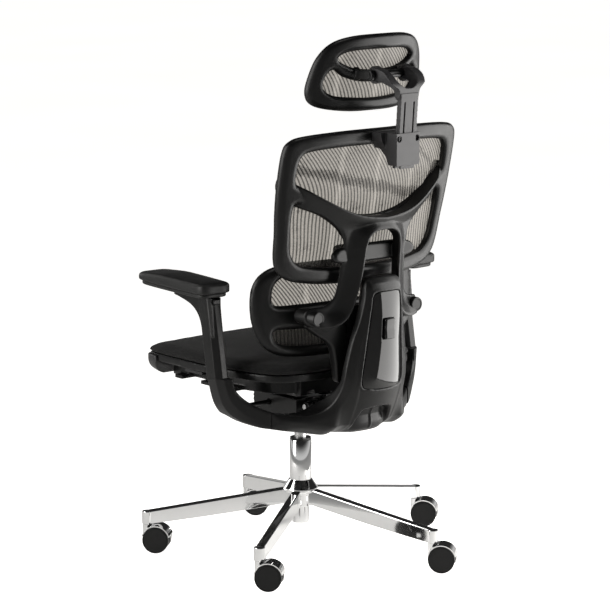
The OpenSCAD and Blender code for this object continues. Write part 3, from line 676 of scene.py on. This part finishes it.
def sheet_of_mesh(name, half, wall, depth, grow, lift, material):
    """A single curved sheet of mesh with UVs in metres, held just in front of its frame."""
    outline = whole(half)
    centre = outline.mean(0)
    outline = centre + (outline - centre) * grow
    at = curved_wall(**wall, t=depth)
    loops = [resample(outline, 6.0)]
    lo, hi = outline.min(0), outline.max(0)
    gx, gz = np.meshgrid(np.arange(lo[0], hi[0], 8.0), np.arange(lo[1], hi[1], 8.0))
    g = np.c_[gx.ravel(), gz.ravel()]
    g = g[inside(g, loops)]
    g = g[edge_distance(g, loops) > 3.5]
    n = len(loops[0])
    verts, _, tris, *_ = geometry.delaunay_2d_cdt([Vector(v) for v in loops[0]] + [Vector(v) for v in g],
                                                  [(i, (i + 1) % n) for i in range(n)], [], 0, 1e-6)
    p = np.array([tuple(v) for v in verts])
    tri = np.array([list(t) for t in tris])
    tri = tri[inside(p[tri].mean(1), loops)]
    obj = new_object(name, np.c_[p[:, 0], at(p[:, 0], p[:, 1]), p[:, 1]], tri)
    layer = obj.data.uv_layers.new(name="UVMap")
    radius = wall["radius"] * MM
    for l in obj.data.loops:
        co = obj.data.vertices[l.vertex_index].co
        layer.data[l.index].uv = (radius * math.asin(co.x / radius) + 1.0, co.z + lift)
    obj.data.materials.append(material)
    area = sum(f.area for f in obj.data.polygons)
    width, height = (outline.max(0) - outline.min(0)) * MM * FLAT_GAIN
    return obj, (round(float(width), 3), round(float(height), 3)), round(area, 4)


LUMBAR = dict(radius=700, y=158, z=590, lean=0)
LUMBAR_T = 18
lumbar_half = [(0, 695), (110, 695), (172, 691), (208, 676), (228, 648), (233, 606), (227, 560), (208, 518),
               (172, 492), (120, 484), (60, 482), (0, 482)]
lumbar_upper = [(0, 668), (110, 669), (156, 665), (179, 650), (186, 624), (177, 604), (110, 602), (0, 602)]
lumbar_lower = [(0, 546), (110, 546), (172, 548), (184, 538), (175, 522), (146, 512), (90, 508), (0, 508)]
HEAD = dict(radius=326, y=266, z=1110, lean=10)
HEAD_T = 17
head_half = [(0, 1200), (74, 1197), (119, 1183), (145, 1152), (157, 1110), (160, 1077), (150, 1053),
             (122, 1040), (64, 1032), (0, 1031)]
head_upper = [(0, 1166), (70, 1164), (99, 1155), (100, 1144), (60, 1127), (0, 1122)]
head_lower = [(0, 1095), (46, 1097), (86, 1109), (110, 1125), (125, 1112), (128, 1087), (104, 1069),
              (50, 1062), (0, 1060)]

for name, body, half, wall, thick, grow, node, lift, material in (
        ("back_mesh_sheet", "backrest", ring_half, BACK, BACK_T, 0.955, "back_mesh", 0.0, MESH),
        ("lumbar_mesh_sheet", "lumbar", lumbar_half, LUMBAR, LUMBAR_T, 0.93, "lumbar_mesh", 0.30, PLAIN_MESH),
        ("headrest_mesh_sheet", "headrest", head_half, HEAD, HEAD_T, 0.93, "headrest_mesh", -0.2,
         PLAIN_MESH)):
    obj, flat, area = sheet_of_mesh(name, half, wall, thick + 1.0, grow, lift, material)
    piece(obj, body, "mesh_fabric", node)


# ---------------------------------------------------------------- lumbar ring and headrest
lumbar_loops = [whole(half) for half in (lumbar_half, lumbar_upper, lumbar_lower)]
piece(moulded("lumbar_moulding", [wall_plate("l", lumbar_loops, LUMBAR, LUMBAR_T, 15, 4)], 2.0, 3),
      "lumbar", "black_plastic", "lumbar_frame")


LUG = dict(x=60, half=5)     # the two lugs that carry the headrest's cross shaft
lug_outline = [(1127, 305), (1127, 292), (1124, 272), (1129, 254), (1101, 254), (1105, 272), (1103, 292),
               (1103, 305), (1108, 311), (1115, 313), (1122, 311)]


def headrest():
    """The headrest's frame with its two lugs."""
    loops = [whole(half) for half in (head_half, head_upper, head_lower)]
    frame_part = wall_plate("h", loops, HEAD, HEAD_T, 13, 4, 5.0)
    lugs = []
    for s in (-1, 1):
        ear = curve(lug_outline)
        rings = [np.array([(s * LUG["x"] + dx, y, z) for z, y in ear]) for dx in (-LUG["half"], LUG["half"])]
        lugs.append(loft("lug", rings))
    return moulded("headrest_moulding", [frame_part] + lugs, 1.6, 3)


piece(headrest(), "headrest", "black_plastic", "headrest_frame")


# ---------------------------------------------------------------- spine, yoke and arm brackets
rear_line = curve([(288, 671), (296, 655), (299, 638), (300, 600), (299, 558), (295, 490), (287, 428),
                   (267, 372), (245, 330), (230, 310)], False)
front_line = curve([(207, 310), (212, 340), (220, 380), (226, 430), (238, 520), (246, 600), (254, 671)],
                   False)
panel_half = [(0, 640), (26, 639), (37, 633), (41, 604), (48, 530), (56, 452), (54, 432), (45, 424), (0, 421)]


def spine_rear(z):
    """The y of the spine's rearmost line."""
    return np.interp(z, rear_line[::-1, 1], rear_line[::-1, 0])


def spine_front(z):
    """The y of the spine's front."""
    return np.interp(z, front_line[:, 1], front_line[:, 0])


SEAM, GAP = 203, 0.2     # where the arm brackets meet the yoke, and half the gap between them
panel_loop = whole(panel_half)
vent_loop = curve([(-58, 296), (58, 296), (54, 330), (46, 362), (36, 376), (0, 380), (-36, 376), (-46, 362),
                   (-54, 330)])
yoke_foot = curve([(SEAM - GAP, 332), (190, 329.5), (152, 322), (122, 317.5), (101, 315.5), (60, 315),
                   (0, 315)], False)


def crown(x, z):
    """How far the gloss panel's skin, and the rim round it, fall away on each side of the middle."""
    bend = np.interp(z, (420, 455, 530, 590, 640), (0.0040, 0.0046, 0.0058, 0.0056, 0.0044))
    half = np.interp(z, (430, 530, 604, 640), (58, 50, 43, 38))
    off = np.abs(x)
    return bend * np.minimum(off, half) ** 2 + 13.0 * np.clip((off - half - 4) / 26, 0, 1)


def signed(x, z, loop):
    """The distance to a loop, less than 0 inside it."""
    p = np.c_[x, z]
    d = edge_distance(p, [loop])
    return np.where(inside(p, [loop]), -d, d)


band_rear = curve([(0, 250), (60, 249), (98, 238), (132, 206), (170, 168), (222, 126), (262, 96), (284, 80),
                   (296.5, 74)], False, 12)
band_face = curve([(0, 206), (60, 196), (105, 168), (150, 136), (196, 104), (232, 76), (258, 48), (265.5, 25),
                   (296.5, 25)], False, 12)[:-12]


def toward_band(x, z):
    """0 on the spine, 1 on the band that runs out to the arms."""
    return smooth((np.abs(x) - 62) / 52) * smooth((452 - z) / 74)


def on_band(line, x):
    """The y of one of the band's two faces, up to where its line turns upright."""
    return np.interp(x, line[:, 0], line[:, 1])


def spine_back(x, z, d):
    """The rear skin: a crowned middle, sloping flanks, a raised rim round the panel and the vent's scoop."""
    w = toward_band(x, z)
    band = np.minimum(on_band(band_rear, np.abs(x)), spine_rear(z) + 2)
    y = (spine_rear(z) - crown(x, z)) * (1 - w) + band * w
    foot = line_distance(np.c_[x, z], [yoke_foot, yoke_foot * (-1, 1)])
    heel = (7.0 + 21.0 * smooth((np.abs(x) - 30) / 50)) * smooth((190 - np.abs(x)) / 55)
    y = y - edge_round(d, 4) - 4.0 * smooth(1 - d / 15) - heel * np.clip(1 - foot / 25, 0, 1) ** 1.3
    to_panel = signed(x, z, panel_loop)
    y = y + 1.8 * np.exp(-((to_panel - 4.0) / 2.0) ** 2) - 4.2 * smooth((0.8 - to_panel) / 1.4)
    to_vent = signed(x, z, vent_loop)
    rib = 4.0 * np.exp(-(x / 2.0) ** 2)
    scoop = 22.0 * np.clip((z - 322) / 34, 0.0, 1.0)
    return y - np.maximum(scoop - rib, 0) * smooth((-to_vent) / 7.0)


def spine_face(x, z, d):
    """The front skin, which keeps clear of the rear skin."""
    w = toward_band(x, z)
    band = on_band(band_face, np.abs(x))
    y = (spine_front(z) + 12.0 * smooth((np.abs(x) - 42) / 8)) * (1 - w) + band * w + edge_round(d, 5)
    return np.minimum(y, spine_back(x, z, d) - 9)


def yoke():
    """Spine and band in one: the outline runs down the flank, round a fillet and out to the seams."""
    top = curve([(0, 672), (36, 670), (50, 658), (54, 625), (62, 580), (76, 530), (87, 470), (92, 425),
                 (101, 394), (121, 372), (152, 362), (188, 367), (SEAM - GAP, 372.5)], False)
    half = np.vstack([top, yoke_foot])
    loop = np.vstack([half, mirror(half)[1:-1]])
    return moulded("yoke_moulding", [plate("spine", [loop], spine_back, spine_face, 3.0)], 1.6, 3)


piece(yoke(), "back", "black_plastic", "back_yoke")

# The arm upright's chamfered section, in halves of its width and depth
UPRIGHT = [(-1, -0.76), (-0.65, -1), (0.52, -1), (1, -0.64), (1, 0.52), (0.32, 1), (-0.65, 1), (-1, 0.76)]


def radial(outline, dx, dy):
    """How far an outline round the origin reaches along a direction."""
    best = 9.0
    for (ax, ay), (bx, by) in zip(outline, outline[1:] + outline[:1]):
        ex, ey = bx - ax, by - ay
        det = dx * ey - dy * ex
        if abs(det) > 1e-9:
            r, k = (ax * ey - ay * ex) / det, (ax * dy - ay * dx) / det
            if r > 0 and -1e-6 <= k <= 1 + 1e-6:
                best = min(best, r)
    return best


def bracket_section(t, n=64):
    """A section of the arm bracket: rounded at the yoke's seam, chamfered like the upright at its top."""
    low = curve([(SEAM + GAP, 332), (224, 337), (256, 354), (281, 388), (296.5, 446)], False, 12)
    high = curve([(SEAM + GAP, 372.5), (222, 382), (246, 400), (261, 421), (265.5, 446)], False, 12)
    at = t * (len(low) - 1)
    lo = np.array([np.interp(at, np.arange(len(low)), low[:, k]) for k in range(2)])
    hi = np.array([np.interp(at, np.arange(len(high)), high[:, k]) for k in range(2)])
    share = float(smooth((t - 0.15) / 0.6))
    ring = []
    for a in np.linspace(0, 2 * math.pi, n, endpoint=False):
        c, s = math.cos(a), math.sin(a)
        r = (1 - share) * (abs(c) ** 7 + abs(s) ** 7) ** (-1 / 7) + share * radial(UPRIGHT, -s, c)
        v, w = 0.5 + 0.5 * r * s, 0.5 + 0.5 * r * c
        x, z = lo + (hi - lo) * v
        y0, y1 = on_band(band_face, x), on_band(band_rear, x)
        ring.append((x, y0 + (y1 - y0) * w, z))
    return np.array(ring)


for side, s in (("left", 1), ("right", -1)):
    rings = [bracket_section(t) * (s, 1, 1) for t in np.linspace(0.0, 1.0, 40)]
    piece(moulded("arm_bracket_moulding_" + side, [loft("bracket", rings)], 1.3, 2), "back", "black_plastic",
          "arm_bracket_" + side)


def gloss_panel():
    """A thin crowned skin in the spine's recess, with an opening for the button."""
    button = np.array([(-15, 534.5), (15, 534.5), (15, 579.5), (-15, 579.5)], float)
    return plate("rear_panel_skin", [panel_loop * (0.985, 1), button],
                 lambda x, z, d: spine_rear(z) - 0.4 - edge_round(d, 2.0) - crown(x, z),
                 lambda x, z, d: spine_rear(z) - 4.0 - crown(x, z), 3.0)


piece(gloss_panel(), "back", "gloss_plastic", "rear_panel")
button_lo, button_hi = box_mm("height_button")
button_mid = (button_lo + button_hi) / 2
CUT = 0.8     # where the button's corners are cut, in halves of its size
button_corners = ((-1, -CUT), (-CUT, -1), (CUT, -1), (1, -CUT), (1, CUT), (CUT, 1), (-CUT, 1), (-1, CUT))
button_loop = curve([(x * 0.98 * 14, button_mid[2] + z * 22) for x, z in button_corners])


def button_face(x, z, d):
    """A crowned face with a hollow across the middle for the thumb."""
    hollow = 1.2 * np.exp(-((z - button_mid[2]) / 9) ** 2)
    return button_hi[1] - edge_round(d, 3.0, 2.2) - hollow - 0.004 * x * x


piece(plate("height_button_cap", [button_loop], button_face, lambda x, z, d: button_lo[1] + 0 * x, 2.5),
      "height_button", "gloss_plastic", "height_button")


# ---------------------------------------------------------------- seat
SEAT = dict(w=248, front=288, rear=188)


def seat_plan(inset):
    """The seat's outline from above, drawn in from its edge."""
    w, f, r = (SEAT[key] - inset for key in ("w", "front", "rear"))
    return whole([(0, r), (w * 0.50, r - 5), (w * 0.80, r - 34), (w * 0.93, r - 110), (w, -60), (w, -f + 110),
                  (w * 0.985, -f + 44), (w * 0.9, -f + 16), (w * 0.5, -f + 3), (0, -f)])


seat_lo, seat_hi = box_mm("seat_cushion")


def cushion():
    """The thin cushion: a waterfall front, a slight crown and a groove inside its piped edge."""
    top, low = seat_hi[2], seat_lo[2]
    return plate("seat_cushion_cover", [seat_plan(2.5)],
                 lambda x, y, d: top - 2.5 - edge_round(d, 34, 11) - 4.0 * smooth((-y - 190) / 100)
                 + 2.0 * smooth(d / 150) - 1.6 * np.exp(-((d - 10) / 2.5) ** 2),
                 lambda x, y, d: low + 0.5 + edge_round(d, 3, 1.5), 7.0, plan=True)


SIM_FRAMES = 20


def puffed(obj, voxel, pressure, cap):
    """Cloth simulation under a little pressure, with each point's movement capped."""
    start = baked(obj, ("REMESH", {"mode": "VOXEL", "voxel_size": voxel * MM}))
    before = np.array([v.co for v in start.data.vertices])
    cloth = start.modifiers.new("Cloth", "CLOTH")
    cloth.settings.use_pressure = True
    cloth.settings.uniform_pressure_force = pressure
    cloth.settings.effector_weights.gravity = 0
    cloth.settings.quality = 5
    scene = bpy.context.scene
    for f in range(1, SIM_FRAMES + 1):
        scene.frame_set(f)
    deps = bpy.context.evaluated_depsgraph_get()
    mesh = bpy.data.meshes.new_from_object(start.evaluated_get(deps), depsgraph=deps)
    start.modifiers.clear()
    scene.frame_set(1)
    after = np.array([v.co for v in mesh.vertices])
    move = after - before
    far = np.linalg.norm(move, axis=1, keepdims=True)
    move *= np.minimum(1, cap * MM / np.maximum(far, 1e-9))
    mesh.vertices.foreach_set("co", (before + move).ravel())
    start.data = mesh
    return start


seat = cushion()
seat = puffed(seat, 5.5, 4.0, 3.0)
baked(seat, ("SMOOTH", {"factor": 0.5, "iterations": 4}), ("SUBSURF", {"levels": 1}))
co = np.array([v.co for v in seat.data.vertices]) / MM
co[:, 2] = np.clip(co[:, 2], seat_lo[2] + 0.3, seat_hi[2] + 3.0)
seat.data.vertices.foreach_set("co", (co * MM).ravel())
piece(shade(seat), "seat", "seat_fabric", "seat_cushion")


def trim():
    """The front trim: the seat's own front edge with a well rounded underside."""
    lo, hi = box_mm("seat_trim")
    loop = seat_plan(2.8)
    front = loop[loop[:, 1] < hi[1]]
    front = front[np.argsort(front[:, 0])]
    rim = [front]
    return plate("seat_trim_moulding", [front],
                 lambda x, y, d: hi[2] - edge_round(d, 1.5) + 0 * x,
                 lambda x, y, d: lo[2] + 1.0 + edge_round(line_distance(np.c_[x, y], rim), 27, 26)
                 + 0.10 * np.maximum(0, -y - 216), 5.0, plan=True)


piece(shade(trim()), "seat", "grey_plastic", "seat_trim")


# ---------------------------------------------------------------- arm pads
PAD = dict(x=295, y=-50, toe=5, base=24)     # its centre, its turn inwards and how deep the cover's edge lies
pad_half = [(0, 135), (26, 134), (39, 121), (42, 76), (44, 0), (44, -76), (40, -120), (26, -135), (0, -137)]

for side, s in (("left", 1), ("right", -1)):
    lo, hi = box_mm("arm_pad_" + side)
    turn = Matrix.Rotation(-math.radians(PAD["toe"]) * s, 2)

    def pad_loop(k, ky):
        return np.array([(s * PAD["x"], PAD["y"])]) + (whole(pad_half) * (k, ky)) @ np.array(turn).T

    top = plate("arm_pad_cover_" + side, [pad_loop(1.0, 1.0)],
                lambda x, y, d: hi[2] - edge_round(d, 12, 8) - 1.5 * smooth(1 - d / 36)
                - 6.0 * smooth((-y - 70) / 120),
                lambda x, y, d: hi[2] - PAD["base"] - 0.5 + edge_round(d, 5, 4), 6.0, plan=True)
    low = plate("low", [pad_loop(0.88, 0.94)], lambda x, y, d: hi[2] - PAD["base"] + 0 * x,
                lambda x, y, d: lo[2] + edge_round(d, 4, 3), 6.0, plan=True)
    pad = joined("arm_pad_cover_" + side, [top, low])
    piece(shade(pad), "arm_pad_" + side, "soft_pad", "arm_pad_" + side)

# ---------------------------------------------------------------- plain mouldings with softened edges
for node, body, slot, voxel, passes in (
        ("arm_upright_left", "arm_left", "black_plastic", 1.2, 2),
        ("arm_upright_right", "arm_right", "black_plastic", 1.2, 2),
        ("pad_carrier_left", "pad_carrier_left", "black_plastic", 1.3, 2),
        ("pad_carrier_right", "pad_carrier_right", "black_plastic", 1.3, 2),
        ("headrest_post", "headrest_post", "grey_plastic", 1.0, 2),
        ("headrest_bracket", "backrest", "grey_plastic", 1.0, 2),
        ("headrest_shaft", "headrest", "black_plastic", 1.0, 2),
        ("mechanism_housing", "chassis", "black_plastic", 1.8, 3),
        ("back_bracket", "back", "black_plastic", 1.8, 3),
        ("lift_lever", "lift_lever", "black_plastic", 1.0, 2),
        ("tilt_lever", "tilt_lever", "black_plastic", 1.0, 2),
        ("tension_knob", "tension_knob", "black_plastic", 1.2, 2),
        ("slide_lever", "slide_lever", "grey_plastic", 1.0, 2),
        ("seat_pan", "seat", "black_plastic", 2.0, 3),
        ("seat_frame", "seat_frame", "grey_plastic", 1.8, 2)):
    piece(softened(node, node + "_moulding", voxel, passes), body, slot, node)

# ---------------------------------------------------------------- base, column and castors
BASE = dict(arms=5, turn=323, r=350, start=26, end=346, top=146, tip_top=95, low=111, tip_low=65)
socket = [(6, 64), (12.2, 64), (12.9, 64.8), (12.9, 91.5), (12.0, 93.6), (9.5, 94.4), (0, 94.6)]
hub = [(16, 64), (19.0, 64), (19.5, 64.6), (19.5, 104), (30.2, 105), (31, 106), (31, 136), (38, 137),
       (40, 139), (40, 145), (39.3, 146.6), (27.2, 164.2), (26.4, 165), (25.2, 165), (25.2, 150)]


def between(a, b, t):
    return a + (b - a) * t


def arm_section(t):
    """A base arm's section, t of the way out: across its middle and up."""
    top = between(BASE["top"], BASE["tip_top"], t)
    low = between(BASE["low"], BASE["tip_low"], t) - 2.0 * math.sin(math.pi * t)
    half_t, half_b = 8.6 - 0.4 * t, 11.8 - 0.4 * t
    foot = [(-half_b, low), (-half_b + 0.3, low), (half_b - 0.3, low)]
    side = [(half_b, low + 0.8), (half_t + 1.6, top - 3.4), (half_t + 1.0, top - 1.6),
            (half_t - 0.3, top - 0.3), (half_t - 2.0, top)]
    return foot + side + [(-w, z) for w, z in side[::-1]]


def star():
    """Five tapering arms of chamfered section, a turned hub and five turned sockets."""
    parts = []
    for i in range(BASE["arms"]):
        a = math.radians(BASE["turn"] + i * 360 / BASE["arms"])
        out, across = np.array([math.cos(a), math.sin(a)]), np.array([-math.sin(a), math.cos(a)])
        rings = []
        for t in np.linspace(0, 1, 24):
            r = between(BASE["start"], BASE["end"], t)
            rings.append(np.array([(*(out * r + across * w), z) for w, z in arm_section(t)]))
        parts.append(loft("arm", rings))
        parts.append(lathe("socket", socket, (*(out * BASE["r"]), 0)))
    parts.append(lathe("hub", hub, steps=96))
    return joined("base_star_casting", parts)


star_piece = baked(crisp(star()), ("WEIGHTED_NORMAL", {"keep_sharp": True, "weight": 90}))
piece(star_piece, "base", "chrome", "base_star")

tube_lo, tube_hi = box_mm("column_tube")
tube = lathe("column_sleeve", [(22, tube_lo[2] + 4), (24.6, tube_lo[2] + 4), (25, tube_lo[2] + 5),
                               (25, tube_hi[2] - 1.4), (24.4, tube_hi[2] - 0.3), (23.6, tube_hi[2]),
                               (22, tube_hi[2])], steps=96)
piece(crisp(tube, 40), "base", "chrome", "column_tube")
chromed = [star_piece, tube]

for i in range(1, BASE["arms"] + 1):
    for node, body, slot, width in ((f"castor_fork_{i}", f"castor_{i}", "chrome", 0.5),
                                    (f"castor_wheels_{i}", f"castor_wheels_{i}", "wheel_plastic", 1.4)):
        part = bevelled(node, node + "_part", width)
        piece(part, body, slot, node)
        if slot == "chrome":
            chromed.append(part)

# ---------------------------------------------------------------- floor, light and camera
FLOOR_REACH = 60000           # in millimetres, as new_object takes them
floor_z = cad_box[0][2] / MM - 0.5
floor = new_object("floor", [(x * FLOOR_REACH, y * FLOOR_REACH, floor_z)
                             for x, y in ((-1, -1), (1, -1), (1, 1), (-1, 1))], [(0, 1, 2, 3)])
WALLS = 0.70                  # how bright the studio is round the chair, for light and reflections
NEAR, NEAR_LIGHT = (0.28, 0.58), 0.9     # the painted pool of light on the floor under the chair, seen only in reflections and bounce light: where it fades out, and its level
FLOOR_GLOW = (0.34, 1.08)     # the floor's own light, for reflections and for the camera
CEILING = (0.85, 0.03, 0.02, 0.22)       # the walls' share of that light low down and high up, and where

paper = Mat("floor_paper")
paper.drive("Roughness", 0.9)
paper.drive("Specular IOR Level", 0.0)
tone = paper.ramp(paper.noise(1.2, 3.0), [(0.2, (0.90, 0.893, 0.875)), (0.8, (0.93, 0.925, 0.91))])
# Painted light: the camera sees the floor evenly white. Reflections and bounce light see it dimmer, at the
# walls' level, with a brighter painted pool of light under the chair, in both its colour and its glow.
seen = paper.node("ShaderNodeLightPath").outputs["Is Camera Ray"]
reach = paper.node("ShaderNodeVectorMath", operation="LENGTH", Vector=paper.coords)
near = paper.span(reach.outputs["Value"], NEAR_LIGHT, 0.0, *NEAR)
lit = paper.math("MAXIMUM", paper.math("MAXIMUM", near, WALLS), seen)
paper.drive("Emission Color", tone)
shaded = paper.node("ShaderNodeVectorMath", operation="SCALE", Vector=tone)
paper.feed(shaded.inputs["Scale"], lit)
paper.drive("Base Color", shaded.outputs[0])
paper.drive("Emission Strength", paper.math("MULTIPLY", lit, paper.span(seen, *FLOOR_GLOW)))
floor.data.materials.append(paper.m)

world = bpy.data.worlds.new("studio")
world.use_nodes = True
bpy.context.scene.world = world
sky = Tree(world.node_tree)
direction = sky.node("ShaderNodeTexCoord").outputs["Generated"]
height = sky.node("ShaderNodeSeparateXYZ", Vector=direction).outputs["Z"]
ceiling = sky.span(height, *CEILING)
ceiling.node.interpolation_type = "SMOOTHSTEP"
seen = sky.node("ShaderNodeLightPath").outputs["Is Camera Ray"]
background = sky.t.nodes["Background"].inputs
sky.feed(background["Color"], (1.0, 0.995, 0.985, 1))
sky.feed(background["Strength"], sky.math("MAXIMUM", sky.math("MULTIPLY", ceiling, WALLS), seen))


def softbox(name, azimuth, distance, height, size, power, aim=0.6):
    """An area light at an azimuth in degrees from the chair's rear towards the sitter's left."""
    light = bpy.data.lights.new(name, "AREA")
    light.shape = "RECTANGLE"
    light.size, light.size_y = size
    light.energy = power
    light.color = (1.0, 0.985, 0.965)
    obj = bpy.data.objects.new(name, light)
    a = math.radians(azimuth)
    obj.location = (math.sin(a) * distance, math.cos(a) * distance, height)
    obj.rotation_euler = (Vector((0, 0, aim)) - obj.location).to_track_quat("-Z", "Y").to_euler()
    bpy.context.scene.collection.objects.link(obj)
    return obj


softbox("key_left", 106, 2.3, 1.25, (1.2, 2.0), 46)
key_right = softbox("key_right", -45, 1.05, 0.73, (1.25, 1.44), 31, 0.73)
# The chrome doesn't see the key light on the right, so that its sides don't burn out
off_chrome = bpy.data.collections.new("off_chrome")
for k, obj in enumerate(chromed):
    off_chrome.objects.link(obj)
    off_chrome.collection_objects[k].light_linking.link_state = "EXCLUDE"
key_right.light_linking.receiver_collection = off_chrome
softbox("rim_left", 172, 2.4, 1.5, (0.9, 1.8), 10)
softbox("top", 20, 0.5, 3.2, (1.0, 1.0), 8)

# The camera: where it stands, how it is turned from facing the origin, and its lens on a 36 mm sensor
VIEW = dict(azimuth=139.80, distance=6.5, height=1.75545, yaw=-0.09, pitch=10.36, lens=172.47364)
azimuth, pitch = math.radians(VIEW["azimuth"]), math.radians(VIEW["pitch"])
toward = Vector((math.sin(azimuth), -math.cos(azimuth), 0))
camera_data = bpy.data.cameras.new("camera")
camera_data.sensor_width = 36.0
camera_data.lens = VIEW["lens"]
camera_data.clip_end = 200.0
camera = bpy.data.objects.new("camera", camera_data)
bpy.context.scene.collection.objects.link(camera)
camera.location = toward * VIEW["distance"] + Vector((0, 0, VIEW["height"]))
heading = -toward
heading.rotate(Matrix.Rotation(math.radians(VIEW["yaw"]), 3, "Z"))
look = heading * math.cos(pitch) - Vector((0, 0, math.sin(pitch)))
camera.rotation_euler = look.to_track_quat("-Z", "Y").to_euler()
bpy.context.scene.camera = camera
bpy.context.scene.view_settings.view_transform = "Standard"
